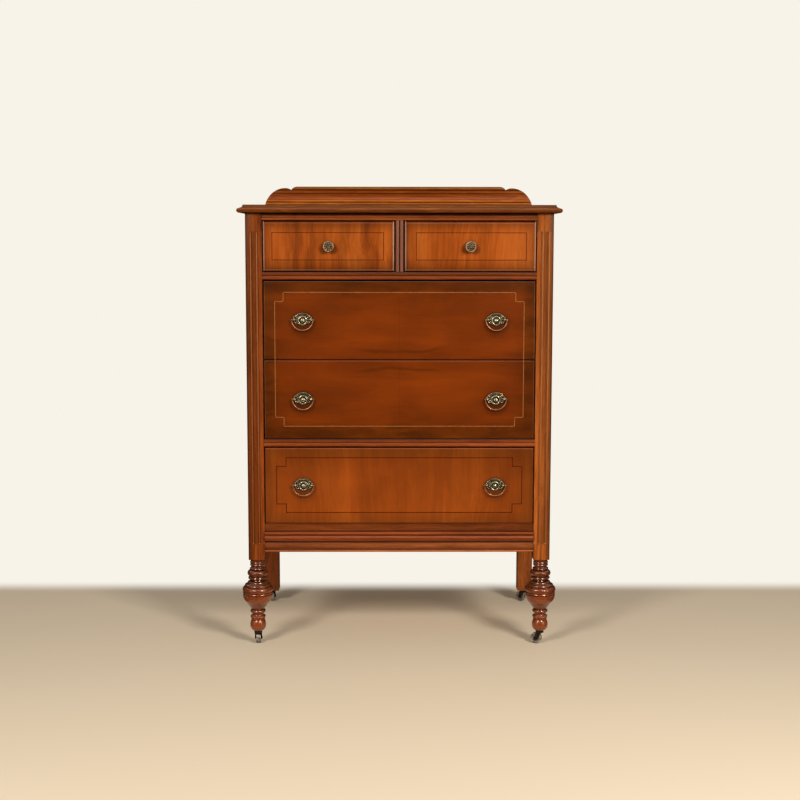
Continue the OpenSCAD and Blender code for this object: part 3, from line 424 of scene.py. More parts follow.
# The middles of the brasses, and the painted shadow below each pull: its
# inner and outer reach, and how dark it is
PULL_X, UPPER_PULL, MIDDLE_PULL, BOTTOM_PULL = 0.242, 0.8350, 0.6359, 0.4169
KNOB_X, KNOB_Z = 0.17625, 1.0074
PATCH_DOWN, PATCH = 0.012, (0.014, 0.04, 0.62)

# Solid posts, grain upright. Across the front of each post the colour is lightest beside
# the drawers and darkest at the outer arris; above and below the flutes it has bands of
# painted sheen, and each flute carries a line of painted highlight. To the eye each post is
# a few upright stripes, from orange to nearly black
POST_FRONT, POST_ARRIS = -0.19, 0.377
FLUTE_ENDS = ((0.262, 0.266), (1.0555, 1.0515))
FLUTE_HIGHLIGHTS, FLUTE_HIGHLIGHT_WIDE, RIGHT_OUT = (0.3536, 0.3691), 0.0024, 0.0024
tree, place, wood, colour = walnut("posts", "lacquered walnut, posts", "#6e2f0e", "#8f4518", "#ad5a24",
    figure=0.6, streaks=0.7)
x, y, z = add(tree, "SeparateXYZ", [place]).outputs
reach = away_from(tree, x)
# The stripes are on the fronts of the front posts alone, and the dark arris fades out where
# it turns into the side of the post
facing = add(tree, "Math", [y, POST_FRONT], operation="LESS_THAN")
inner = add(tree, "Math", [reach, POST_ARRIS], operation="LESS_THAN")
rounded = add(tree, "MapRange", [turned_to(tree, (0, 1, 0)), 0.02, 0.5])
rounded = add(tree, "Math", [inner, rounded], operation="MAXIMUM")
facing = add(tree, "Math", [facing, rounded], operation="MULTIPLY")
fluted = [add(tree, "MapRange", [z, out, into]) for out, into in FLUTE_ENDS]
fluted = add(tree, "Math", fluted, operation="MULTIPLY")
plain = toner_and_painted_light(tree, colour, reach, POST_SIDE, [(0, 0.5), (2.5, 0.6), (5, 1.0), (12, 1.05), (15, 1.2),
    (17, 0.75), (20, 0.95), (23, 1.25), (25, 0.9), (31, 0.72), (34, 0.5), (37.5, 0.4), (39, 0.24),
    (41.5, 0.16)])
lined = toner_and_painted_light(tree, colour, reach, POST_SIDE, [(0, 0.6), (1.5, 1.1), (8.5, 1.08), (10, 0.74), (16, 0.74),
    (18, 0.7), (24.5, 0.68), (27, 0.6), (31, 0.56), (33.5, 0.6), (37.5, 0.5), (39, 0.26), (41.5, 0.16)])
# A pale line of painted highlight stands where each flute faces the brighter lamp, a little
# further out on the right
out = add(tree, "Math", [x, 0], operation="GREATER_THAN")
out = add(tree, "Math", [out, -RIGHT_OUT, reach], operation="MULTIPLY_ADD")
strength = add(tree, "MapRange", [z, 0.4, 0.85, 0.3, 0.75])
for near in FLUTE_HIGHLIGHTS:
    lined = painted_highlight_line(tree, lined, out, near, near + FLUTE_HIGHLIGHT_WIDE, "#b87444", strength)
striped = add(tree, "Mix", {"Factor": fluted, 6: plain, 7: lined}, data_type="RGBA").outputs[2]
colour = add(tree, "Mix", {"Factor": facing, 6: colour, 7: striped}, data_type="RGBA").outputs[2]
# The left posts are painted darker than the right ones, as the right lamp is the stronger,
# and the rear posts of both sides are painted a little darker than the front ones, as shade
colour = toner_and_painted_light(tree, colour, x, -0.1, [(0, 0.68), (200, (1.04, 1.22, 1.3))])
# The posts are paler beside the bottom drawer and darker towards the top
colour = toner_and_painted_light(tree, colour, z, 0.2, [(0, 1.0), (20, 1.03), (64, 1.08), (116, 1.15), (271, 1.17), (322, 1.08),
    (400, 1.0), (474, 1.0), (530, 0.92), (574, 0.86), (749, 0.84), (823, 0.87), (872, 0.76), (920, 0.72)])
# Painted shade: the rear posts are a little darker
colour = shade(tree, colour, y, -0.1, 0.1, 1.0, 0.86)
lacquer(tree, colour, wood, level=0.35, coat=0.2)

# The muntin between the small drawers, the same wood, painted dark with shade at its sides
# but for its two beads, which carry painted sheen and show as two dusky lines
tree, place, wood, colour = walnut("muntin", "lacquered walnut, muntin", "#5a2a18", "#773c24", "#8d4e34",
    figure=0.5)
x = add(tree, "SeparateXYZ", [place]).outputs["X"]
reach = away_from(tree, x)
colour = toner_and_painted_light(tree, colour, reach, 0, [(0, 0.2), (1.5, 0.35), (3.2, (0.62, 0.8, 1.2)),
    (4.6, (0.9, 1.3, 2.2)), (5.6, (0.85, 1.2, 2.0)), (6.8, 0.62), (9, 0.35), (11, 0.2)])
lacquer(tree, colour, wood)

# Solid rails and mouldings, grain level. Toner and painted shade lie in the grooves between
# the beads and painted highlights on the beads, so that each profile reads as bright and dark
# lines. The top rail is painted dark along its head, as shade under the nose of the top
tree, place, wood, colour = walnut("rails", "lacquered walnut, rails", "#4c1f08", "#763412", "#96481c",
    along="X", figure=0.5, shift=(0.3, 0, 0.7))
z = add(tree, "SeparateXYZ", [place]).outputs["Z"]
top_rail = toner_and_painted_light(tree, colour, z, TOP_RAIL, [(0, 0.7), (1.5, (1.05, 1.3, 1.5)), (4, (1.15, 1.35, 1.5)),
    (5.8, 0.6), (7, (0.95, 1.1, 1.2)), (10.5, (0.95, 1.1, 1.2)), (12.5, 0.26), (18, 0.25)])
beads = [(0, 0.8), (1.5, 1.1), (3, 1.15), (4.5, 1.05), (6.4, 0.85), (8.9, 0.78), (10.6, 0.95), (11.5, 1.05),
    (13.8, 0.72), (16.3, 0.42), (18.7, 0.2), (20, 0.12)]
upper_rail = toner_and_painted_light(tree, colour, z, UPPER_RAIL, beads)
lower_rail = toner_and_painted_light(tree, colour, z, LOWER_RAIL, [(at, factor * 1.3) for at, factor in beads])
low = toner_and_painted_light(tree, colour, z, BASE_FOOT, [(0, (1.0, 1.2, 1.3)), (2, (1.65, 2.1, 2.3)), (5.2, (1.65, 2.1, 2.3)),
    (6.5, 0.45), (8.5, (0.8, 1.0, 1.4)), (17, (1.15, 1.55, 2.4)), (22, (1.1, 1.45, 2.2)), (26, 0.8),
    (27.6, 0.3), (28.6, 0.3), (32, 0.75), (40, 1.12), (43.4, 1.0), (44.6, 0.4), (46, 0.75), (50, 1.15),
    (53, 1.05), (54.4, 0.35), (56, (0.88, 1.0, 1.0)), (66, (0.85, 1.0, 1.0)), (75, 0.6)])
# Each rail's own bands count past a height between it and the rail below
for over, rail in ((0.4, lower_rail), (0.7, upper_rail), (1.0, top_rail)):
    low = beyond(tree, z, over, low, rail)
lacquer(tree, low, wood, coat=0.3)

# Plain stock for the side rails, its grain from front to back, even in tone and quiet
tree, place, wood, colour = walnut("side rails", "lacquered walnut, side rails", "#56240b", "#7a3712",
    "#904a1e", along="Y", shift=(0.1, 0.4, 0))
lacquer(tree, colour, wood)

# Turned legs, with upright grain, faint under a thick coat of lacquer, which gives every
# ring two bright points; the quirks between the rings carry painted shade
tree, place, wood, colour = walnut("legs", "turned walnut", "#4e210d", "#713312", "#8a431b", figure=0.6,
    streaks=0.35, shift=(0.5, 0.2, 0.1), crevice_shade=0.75)
z = add(tree, "SeparateXYZ", [place]).outputs["Z"]
colour = toner_and_painted_light(tree, colour, z, LEG_FOOT, [(0, 0.9), (15, 1.25), (42, 1.2), (56, 0.8), (72, 0.85), (80, 1.15),
    (100, 1.2), (108, 0.9), (122, 0.7), (130, 0.6), (165, 0.62), (188, 0.75)])
# Painted shade: where the rings turn away from the front or the back they are painted darker
colour = shade(tree, colour, turned_to(tree, (0, 1, 0)), 0.0, 0.55, 0.6)
lacquer(tree, colour, wood, bumpy=0.02, coat=0.75, coat_roughness=0.17)

# Top board: under its nose and in the cove over it the edge carries painted shade, with
# painted highlights on the nose, and the level face is duller and browner than the fronts
tree, place, wood, colour = walnut("top", "lacquered walnut, top", "#5c2706", "#85400e", "#ab5c1b", along="X",
    figure=0.5, streaks=0.9, shift=(0.8, 0.3, 0.2), crevice_shade=0.3)
z = add(tree, "SeparateXYZ", [place]).outputs["Z"]
colour = toner_and_painted_light(tree, colour, z, TOP_FOOT, [(0, 0.35), (2, 0.5), (4, 0.45), (6, 0.3), (8, (0.36, 0.36, 0.4)),
    (9.4, (0.9, 1.05, 1.15)), (11, (1.2, 1.45, 1.6)), (13, (1.15, 1.35, 1.5)), (13.8, 0.5),
    (15, (0.6, 0.75, 0.8)), (17, (0.55, 0.66, 0.7)), (18.5, 0.3), (19.9, 0.3), (20, 0.9)])
# Painted shade: below the level face, where the moulded edge turns up or down, it is painted darker, an
# outline
edges = shade(tree, colour, turned_to(tree, (0, 0, 1)), 0.95, 0.6, 0.3)
colour = beyond(tree, z, TOP_FACE - 0.0001, edges, colour)
lacquer(tree, colour, wood, roughness=0.32, level=0.35, coat=0.15)

# Backsplash: from its foot up a list, a bead, a cove, a list and the bead of the crest. The
# beads carry painted highlights, golden between dark lines of painted shade
tree, place, wood, colour = walnut("backsplash", "lacquered walnut, backsplash", "#5e2805", "#883f0a",
    "#b05f1a", along="X", figure=0.5, streaks=0.55, shift=(0.2, 0.6, 0.9), crevice_shade=0.3)
z = add(tree, "SeparateXYZ", [place]).outputs["Z"]
toned_and_lit = toner_and_painted_light(tree, colour, z, TOP_FACE, [(0, 0.5), (11, 0.5), (13, 0.9), (15, (1.6, 2.3, 4.0)),
    (17, (1.5, 2.1, 3.6)), (18.2, 0.6), (20, 0.75), (21.5, (1.7, 2.3, 3.6)), (23, (1.5, 2.0, 2.6)),
    (25, (1.3, 1.5, 1.5)), (26.4, 0.7), (29, (0.95, 0.85, 0.6)), (34, (0.76, 0.66, 0.45)),
    (41, (0.6, 0.54, 0.4)), (43, 0.25), (44.2, 0.28), (45.5, 0.78), (50, 0.74), (52, 0.3), (54, 0.38),
    (56, (0.93, 1.42, 3.2)), (60, (0.83, 1.25, 2.8)), (61, 0.3), (62, 0.25)])
# Painted shade: where the face turns away from the front it is painted darker, an outline
toned_and_lit = shade(tree, toned_and_lit, turned_to(tree, (0, 1, 0)), 0.2, 0.7, 0.25)
# The upper side, the ends and the back don't look to the front, and have the stain alone
facing = add(tree, "SeparateXYZ", [add(tree, "NewGeometry").outputs["Normal"]]).outputs["Y"]
colour = beyond(tree, facing, -0.05, toned_and_lit, colour)
lacquer(tree, colour, wood, level=0.35, coat=0.2)

# Side panels, veneered with upright grain in broad soft flames
tree, place, wood, colour = walnut("side panels", "walnut veneer, side panels", "#69300e", "#8a4212",
    "#a2561e", shift=(0.6, 0.9, 0.4), figure=1.0)
lacquer(tree, colour, wood)

# Small drawer fronts, cut from two sheets with upright streaks: the left is darker. They
# are the brightest and most orange wood of the chest
tree, place, wood, colour = walnut("small fronts", "walnut veneer, small fronts", "#6d2f09", "#934510",
    "#ab5a1e", figure=1.0, pores=0.04, shift=(0.15, 0, 0.3))
x, _, z = add(tree, "SeparateXYZ", [place]).outputs
# Upright streaks of heartwood, many on the left front and few on the right. They wander by
# up to a centimetre to each side, in waves 62 mm high
spread = add(tree, "VectorMath", [place, (5, 1, 16)], operation="MULTIPLY")
wander = add(tree, "TexNoise", {"Vector": spread, "Scale": 1, "Detail": 3})
wander = add(tree, "Math", [wander, 0.045, x], operation="MULTIPLY_ADD")
colour = toner_and_painted_light(tree, colour, wander, -0.3175, [
    (0, 0.9), (25, 0.98), (50, 1.0), (64, 0.7), (72, 0.9), (80, 0.66), (90, 0.74), (98, 1.0), (108, 0.92),
    (114, 0.68), (125, 0.64), (136, 0.86), (160, 0.92), (184, 0.88), (192, 0.7), (206, 0.68), (218, 0.86),
    (240, 0.84), (250, 0.72), (264, 0.84), (300, 0.97), (325, 0.9), (350, 0.74), (380, 0.84), (450, 0.92),
    (520, 1.0), (560, 0.92), (590, 1.02), (650, 0.92), (680, 0.84)])
folded = add(tree, "CombineXYZ", {"X": away_from(tree, x), "Z": z})
edge = add(tree, "Group", [folded, SMALL_IN, SMALL_OUT, SMALL_FOOT, SMALL_HEAD], node_tree=inset)
colour = shade(tree, colour, edge, 0.0, 0.03, 0.78)
# Painted shade: towards the head the fronts are painted darker, under the top rail and the nose of the top
colour = shade(tree, colour, z, SMALL_HEAD, 1.045, 0.68)
# The rounded ends carry a pale line of painted highlight, with a darker line of painted shade
# inside it; the front darkens towards its foot, with painted shade at the gap over the rail and
# a pale line of painted highlight just above it. The sides that don't count are set far off
ends = add(tree, "Group", [folded, SMALL_IN, SMALL_OUT, 0.8, 1.2], node_tree=inset)
colour = toner_and_painted_light(tree, colour, ends, 0, [(0, 0.6), (3.0, 0.8), (3.6, 0.5), (6.0, 0.75), (11, 1.0)])
colour = painted_highlight_line(tree, colour, ends, 0.0006, 0.0032, "#cf9c84", 0.6)
ledge = add(tree, "Group", [folded, -1, 1, SMALL_FOOT, 2], node_tree=inset)
colour = toner_and_painted_light(tree, colour, ledge, 0, [(0, 0.22), (2, 0.35), (3, 0.48), (5, 0.62), (7.5, 0.52), (9, 0.62),
    (13, 0.72), (20, 0.78), (27, 0.84), (34, 1.0)])
colour = painted_highlight_line(tree, colour, ledge, 0.0030, 0.0052, "#a8704c", 0.3)
# Painted shadows of the knobs, one to each side of each knob
shadow_spots = [(side * KNOB_X + off, KNOB_Z) for side in (-1, 1) for off in (-0.013, 0.013)]
colour = handled_and_shadowed(tree, colour, place, shadow_spots, 0.004, 0.0155, 0.6)
lacquer(tree, colour, wood, bumpy=0.015)

# The two wide fronts, one sheet folded four ways about the joint between them: a deep even
# red-brown, mirrored left to right and up to down, and darker round the border
JOINT_Z = 0.734
tree, place, wood, colour = walnut("wide fronts", "four-way matched walnut veneer", "#562401", "#732e02",
    "#863904", along="X", fold_x=0, fold_z=JOINT_Z, figure=0.5, streaks=0.14, pores=0.03,
    shift=(0.42, 0, 0.2))
# Two dark wisps of heartwood curve away from the joint, about 20 mm from it in the middle
# and further with the square of the way out, with ripples 70 mm long
x, _, z = add(tree, "SeparateXYZ", [place]).outputs
across, from_joint = away_from(tree, x), away_from(tree, z, JOINT_Z)
ripple = add(tree, "TexNoise", {"Vector": place, "Scale": 14, "Detail": 3})
curve = add(tree, "Math", [across, 2], operation="POWER")
curve = add(tree, "Math", [curve, 0.7, 0.012], operation="MULTIPLY_ADD")
curve = add(tree, "Math", [ripple, 0.018, curve], operation="MULTIPLY_ADD")
off = away_from(tree, add(tree, "Math", [from_joint, curve], operation="SUBTRACT"))
near, short = (
    add(tree, "MapRange", [far, start, end, 1, 0], interpolation_type="SMOOTHSTEP")
    for far, start, end in ((off, 0, 0.008), (across, 0.05, 0.15))
)
wisp = add(tree, "Math", [near, short], operation="MULTIPLY")
colour = shade(tree, colour, wisp, 0.0, 1.0, 1.0, 0.72)
# The toner was blown darker round the border, most of all outside the string
colour = toner_and_painted_light(tree, colour, x, FRONT_SIDE, [(0, 0.6), (30, 0.66), (70, 0.8), (150, 0.86), (300, 0.95),
    (430, 0.95), (560, 0.92), (620, 0.86), (655, 0.64), (682, 0.58)])
# The toner darkens the foot and the head too, and the last millimetres of the head are painted dark, as shade
# under the rail
colour = toner_and_painted_light(tree, colour, z, WIDE_FOOT, [(0, 0.72), (28, 0.8), (60, 0.96), (150, 1.0), (195, 0.92),
    (205, 0.92), (250, 1.0), (340, 0.97), (372, 0.72), (392, 0.64), (395, 0.3), (400, 0.15)])
framed = add(tree, "Group", [place, *WIDE_STRING], node_tree=inset)
colour = toner_and_painted_light(tree, colour, framed, -0.03, [(0, (0.78, 0.98, 1.0)), (22, (0.84, 0.98, 1.0)),
    (29, (0.92, 0.96, 0.9)), (30, 1.0), (90, 1.0)])
colour = clouds(tree, colour, place, (5, 1, 13), 0.84, 1.12)  # 200 by 77 mm
rim = clouds(tree, colour, place, (11, 1, 30), 0.74, 1.14)  # 91 by 33 mm
rim_part = add(tree, "MapRange", [framed, 0.012, -0.006])
colour = add(tree, "Mix", {"Factor": rim_part, 6: colour, 7: rim}, data_type="RGBA").outputs[2]
# The leaves meet on a faint line in the middle
colour = shade(tree, colour, away_from(tree, x), 0.0004, 0.0012, 0.86)
# Painted shadows under the pulls
shadow_spots = [(side * PULL_X, z - PATCH_DOWN) for z in (UPPER_PULL, MIDDLE_PULL) for side in (-1, 1)]
colour = handled_and_shadowed(tree, colour, place, shadow_spots, *PATCH)
lacquer(tree, colour, wood, bumpy=0.01)

# Bottom front, upright grain opened like a book about the middle. It has a warm glow to
# each side, the left one brighter
tree, place, wood, colour = walnut("bottom front", "book-matched walnut veneer", "#743208", "#8e400c",
    "#a65214", fold_x=0, figure=0.5, streaks=0.26, pores=0.04, shift=(0.9, 0, 0.5))
x, _, z = add(tree, "SeparateXYZ", [place]).outputs
colour = toner_and_painted_light(tree, colour, x, FRONT_SIDE, [(0, 0.86), (40, 0.9), (120, 0.86), (175, 0.92), (195, 1.0),
    (210, 1.12), (228, 1.1), (245, 0.9), (341, 0.9), (440, 0.98), (560, 0.94), (640, 0.76), (682, 0.7)])
colour = toner_and_painted_light(tree, colour, z, BOTTOM_FOOT, [(0, 0.82), (30, 0.95), (110, 0.9), (160, 0.74), (196, 0.66)])
framed = add(tree, "Group", [place, *BOTTOM_STRING], node_tree=inset)
colour = toner_and_painted_light(tree, colour, framed, -0.03, [(0, (0.86, 0.98, 1.1)), (22, (0.9, 0.98, 1.1)), (29, 0.94),
    (30, 1.0), (60, 1.0)])
colour = clouds(tree, colour, place, (7, 1, 10), 0.9, 1.08)  # 143 by 100 mm
# Painted shadows under the pulls
shadow_spots = [(side * PULL_X, BOTTOM_PULL - PATCH_DOWN) for side in (-1, 1)]
colour = handled_and_shadowed(tree, colour, place, shadow_spots, *PATCH)
lacquer(tree, colour, wood, bumpy=0.015)
print(len(FINISH), "walnut finishes")

# %% [markdown]
# ## Oak, plywood, brass and steel
# Inside, the drawers are plain oak with thin plywood bottoms. The brasses are cast and
# were dipped to look old: the recesses stayed dark and the high places were rubbed
# bright. The casters are oxidised steel.
#
# Oak looks pale, silky and nearly matt, and the plywood drier still. Oak's marks are drawn
# 6 mm wide and 110 mm long, about twice as wide as its rings are, and those of the plywood
# 24 by 385 mm. The brass looks like old gold over umber, with tarnish in blotches 4 and
# 8 mm wide. The horns of the casters are nearly black, and their wheels rubbed grey.

# %% Make the other finishes
def plain_wood(name, dark, light, scale, roughness, turned=None):
    """A bare wood with soft grain. On faces that look to the front or back it may be turned."""
    material, tree, place = blank(name)
    spread = add(tree, "VectorMath", [place, scale], operation="MULTIPLY")
    if turned:
        other = add(tree, "VectorMath", [place, turned], operation="MULTIPLY")
        facing = add(tree, "Math", [turned_to(tree, (0, 1, 0)), 0.5], operation="GREATER_THAN")
        spread = add(tree, "Mix", {"Factor": facing, 4: spread, 5: other}, data_type="VECTOR").outputs[1]
    look = {"Vector": spread, "Scale": 1, "Detail": 5, "Roughness": 0.6, "Distortion": 0.4}
    noise = add(tree, "TexNoise", look)
    colour = add(tree, "ValToRGB", [noise], [(0.3, hex_rgb(dark)), (0.7, hex_rgb(light))])
    bump = add(tree, "Bump", {"Height": noise, "Strength": 0.2, "Distance": 0.0005})
    shader = add(tree, "BsdfPrincipled", {
        "Base Color": colour, "Roughness": roughness, "IOR": 1.5, "Specular IOR Level": 0.3, "Normal": bump})
    add(tree, "OutputMaterial", {"Surface": shader})
    return material


# Grain runs from front to back on the sides of the boxes, and across on their backs
FINISH["oak"] = plain_wood("plain oak", "#9a7344", "#bf9864", (160, 9, 160), 0.6, turned=(9, 160, 160))
FINISH["plywood"] = plain_wood("plywood, level grain", "#a67a4a", "#caa06c", (2.6, 42, 42), 0.7)
FINISH["back plywood"] = plain_wood("plywood, upright grain", "#a67a4a", "#caa06c", (42, 42, 2.6), 0.7)


def worn_metal(name, recess, high, tarnish, rough_recess, rough_high, reach, metallic, field=None,
        blotchy=0.5):
    """A metal, dark in its recesses, rubbed where it stands out, and tarnished in blotches.

    All that lies behind the field, a depth on Y, counts as recess."""
    material, tree, place = blank(name)
    open_sky = add(tree, "AmbientOcclusion", {"Distance": reach}, samples=8).outputs["AO"]
    blotch = add(tree, "TexNoise", {"Vector": place, "Scale": 260, "Detail": 3, "Roughness": 0.6})
    worn = add(tree, "Math", [blotch, blotchy, open_sky], operation="MULTIPLY_ADD")
    worn = add(tree, "MapRange", [worn, 0.55 + blotchy / 2, 1 + blotchy / 2])
    if field is not None:
        depth = add(tree, "SeparateXYZ", [place]).outputs["Y"]
        proud = add(tree, "MapRange", [depth, field - 0.0001, field - 0.0007, 0.12, 1])
        worn = add(tree, "Math", [worn, proud], operation="MULTIPLY")
    spread = add(tree, "TexNoise", {"Vector": place, "Scale": 120, "Detail": 2})
    spread = add(tree, "MapRange", [spread, 0.42, 0.58])
    mixed = {"Factor": spread, 6: hex_rgb(high), 7: hex_rgb(tarnish)}
    rubbed = add(tree, "Mix", mixed, data_type="RGBA").outputs[2]
    mixed = {"Factor": worn, 6: hex_rgb(recess), 7: rubbed}
    colour = add(tree, "Mix", mixed, data_type="RGBA").outputs[2]
    rough = add(tree, "MapRange", [worn, 0, 1, rough_recess, rough_high])
    bump = add(tree, "Bump", {"Height": blotch, "Strength": 0.15, "Distance": 0.0004})
    shader = add(tree, "BsdfPrincipled", {
        "Base Color": colour, "Roughness": rough, "Metallic": metallic, "Normal": bump})
    add(tree, "OutputMaterial", {"Surface": shader})
    return material


FINISH["brass"] = worn_metal("antiqued cast brass", "#120c04", "#3c3020", "#241f13", 0.55, 0.42, 0.003, 0.8)
FINISH["plate brass"] = worn_metal("antiqued cast brass, plates", "#171006", "#b3a086", "#858462", 0.5, 0.24,
    0.003, 0.85, field=-0.2257)
FINISH["bail brass"] = worn_metal("handled cast brass", "#3c2212", "#a8805f", "#8e6b4a", 0.45, 0.33, 0.003,
    0.75, blotchy=0.15)
FINISH["steel"] = worn_metal("oxidised steel", "#120d0a", "#3d342c", "#2a231e", 0.6, 0.4, 0.005, 0.85)
FINISH["wheel steel"] = worn_metal("rolled steel", "#14110e", "#aaa29c", "#6e665f", 0.55, 0.34, 0.004, 0.6)
print(len(FINISH), "finishes in all")

# %% [markdown]
# ## Dress the CAD parts
# Each node of the frame gets the finish of what it is. The names say which.

# %% Assign the finishes
ENDINGS = {
    "legs": ("_front_leg",),
    "posts": ("_post",),
    "side panels": ("side_panel",),
    "side rails": ("side_rails",),
    "top": ("top_board",),
    "backsplash": ("backsplash",),
    "small fronts": ("left_drawer_front", "right_drawer_front"),
    "wide fronts": ("upper_drawer_front", "middle_drawer_front"),
    "bottom front": ("bottom_drawer_front",),
    "muntin": ("muntin",),
    "back plywood": ("back_panel",),
    "plywood": ("dust_panels", "drawer_bottom"),
    "oak": ("drawer_box", "hidden_divider_rail", "rear_rails", "drawer_runners", "drawer_guides"),
    "bail brass": ("bail",),
    "plate brass": ("plates",),
    "brass": ("knob", "caster_sockets"),
    "wheel steel": ("wheel",),
    "steel": ("horn",),
}


def finish_of(name):
    """The finish for a node of the frame, by how its name ends. All else is a rail."""
    return next((key for key, endings in ENDINGS.items() if name.endswith(endings)), "rails")


for name, thing in nodes.items():
    thing.data.materials.clear()
    thing.data.materials.append(FINISH[finish_of(name)])
print({key: sum(finish_of(name) == key for name in nodes) for key in FINISH})

# %% [markdown]
# ## The inlaid strings
# A string is a thin line of veneer let into a groove, here in short straight lengths
# that are butted at each corner. The pale one is maple and frames the two wide fronts
# together. Darker ones are on the small fronts and the bottom front.
#
# Geometry Nodes lay them: the path is drawn as bare edges, every edge becomes a point
# at its middle, and a strip as long as the edge is set on it, with its thin side
# turned to the front.

# %% Lay the strings
strips, given = new_group(
    "Strips on edges", "GeometryNodeTree",
    {"Edges": "Geometry", "Width": "Float", "Proud": "Float", "Finish": "Material"}, {"Strips": "Geometry"})
ends = add(strips, "GeometryNodeInputMeshEdgeVertices")
head, tail = ends.outputs["Position 2"], ends.outputs["Position 1"]
run = add(strips, "VectorMath", [head, tail], operation="SUBTRACT")
held = add(strips, "GeometryNodeCaptureAttribute", [given.outputs["Edges"]], domain="EDGE")
held.capture_items.new("VECTOR", "Run")
strips.links.new(run.outputs[0], held.inputs["Run"])
points = add(strips, "GeometryNodeMeshToPoints", [held], mode="EDGES")
kept = held.outputs["Run"]
length = add(strips, "VectorMath", [kept], operation="LENGTH").outputs["Value"]
turn = add(strips, "FunctionNodeAlignRotationToVector", {"Vector": kept}, axis="X")
turn = add(strips, "FunctionNodeAlignRotationToVector", {"Rotation": turn, "Vector": (0, -1, 0)}, axis="Y",
    pivot_axis="X")
long = add(strips, "Math", [length, given.outputs["Width"]], operation="ADD")
size = add(strips, "CombineXYZ", [long, given.outputs["Proud"], given.outputs["Width"]])
unit = add(strips, "GeometryNodeMeshCube", {"Size": (1, 1, 1)})
laid = add(strips, "GeometryNodeInstanceOnPoints", {"Points": points, "Instance": unit, "Rotation": turn,
    "Scale": size})
solid = add(strips, "GeometryNodeRealizeInstances", [laid])
solid = add(strips, "GeometryNodeSetMaterial", {"Geometry": solid, "Material": given.outputs["Finish"]})
add(strips, "NodeGroupOutput", [solid])


def plain_piece(thing, group, values):
    """Runs a Geometry Nodes tree on an object and keeps its result as a plain mesh."""
    modifier = thing.modifiers.new("make", "NODES")
    modifier.node_group = group
    for socket in group.interface.items_tree:
        if socket.in_out == "INPUT" and socket.name in values:
            modifier[socket.identifier] = values[socket.name]
    ready = thing.evaluated_get(bpy.context.evaluated_depsgraph_get())
    mesh = bpy.data.meshes.new_from_object(ready)
    thing.modifiers.clear()
    thing.data = mesh
    return thing


def string_wood(name, code):
    """A narrow strip of one veneer, with faint grain."""
    material, tree, place = blank(name)
    noise = add(tree, "TexNoise", {"Vector": place, "Scale": 90, "Detail": 3})  # 11 mm
    level = add(tree, "MapRange", [noise, 0.3, 0.7, 0.75, 1.12])
    tint = add(tree, "VectorMath", {0: hex_rgb(code)[:3], "Scale": level}, operation="SCALE")
    gloss = {"Roughness": 0.27, "Specular IOR Level": 0.5, "Specular Tint": hex_rgb("#ffba90")}
    add(tree, "OutputMaterial", {"Surface": add(tree, "BsdfPrincipled", {"Base Color": tint, **gloss})})
    return material


PALE_STRING = string_wood("maple string", "#8a5c30")
DARK_STRING = string_wood("dyed string", "#471a08")

FACE_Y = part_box("upper_drawer_front")[0][1]


def notched(left, right, foot, head, step_x, step_z):
    """Corners of a frame whose own corners are stepped inwards."""
    shoulder, near, far = head - step_z, left + step_x, right - step_x
    upper = [(left, shoulder), (near, shoulder), (near, head), (far, head), (far, shoulder),
        (right, shoulder)]
    lower = [(x, foot + head - z) for x, z in reversed(upper)]
    return upper, lower


def strings(name, body, path, closed, finish, width=0.0018):
    """Lays a string along a path of points on the face of a drawer."""
    points = [(p[0], FACE_Y if len(p) == 2 else p[2], p[1]) for p in path]
    edges = [(i, i + 1) for i in range(len(points) - 1)] + ([(len(points) - 1, 0)] if closed else [])
    thing = drawn(name, points, edges, [])
    plain_piece(thing, strips, {"Width": width, "Proud": 0.0004, "Finish": finish})
    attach(thing, body)
    return thing


upper, lower = notched(*WIDE_STRING, 0.0213, 0.0226)
ROUND = 0.0035
low_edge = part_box("upper_drawer_front")[0][2]
high_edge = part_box("middle_drawer_front")[1][2]
# The string follows the rounded edge at the joint for three quarters of the way
bend = [(ROUND * (1 - math.sin(a)), ROUND * (1 - math.cos(a))) for a in (0.0, 0.4, 0.8, 1.2)]


def turned_in(x, edge, way, turns):
    """The end of a string that runs over a rounded edge, at X."""
    return [(x, edge + way * dz, FACE_Y + dy) for dz, dy in turns]


left, right = WIDE_STRING[:2]
up_path = turned_in(left, low_edge, 1, bend[::-1]) + upper + turned_in(right, low_edge, 1, bend)
down_path = turned_in(right, high_edge, -1, bend[::-1]) + lower + turned_in(left, high_edge, -1, bend)
made = [
    strings("upper_drawer_string", "drawer_upper", up_path, False, PALE_STRING),
    strings("middle_drawer_string", "drawer_middle", down_path, False, PALE_STRING),
]
upper, lower = notched(*BOTTOM_STRING, 0.024, 0.022)
made.append(strings("bottom_drawer_string", "drawer_bottom", upper + lower, True, DARK_STRING))
for side, x0, x1 in (("left", -0.3167, -0.0399), ("right", 0.0416, 0.3152)):
    path = [(x0, 0.983), (x1, 0.983), (x1, 1.0505), (x0, 1.0505)]
    name, body = f"top_{side}_drawer_string", f"drawer_top_{side}"
    made.append(strings(name, body, path, True, DARK_STRING, width=0.0014))
print([len(thing.data.polygons) for thing in made], "faces in the strings")

# %% [markdown]
# ## Chasing on the brasses
# Such brasses were cast with fine ornament: a rope along the arch of each backplate,
# leaves round its boss and gadroons on the dome, and on the knobs a rosette inside a
# rope. All of it is one small swelling, repeated round an arc and leaned over for a
# rope. The tree lays one arc of them, and sets a copy on every point it is given.

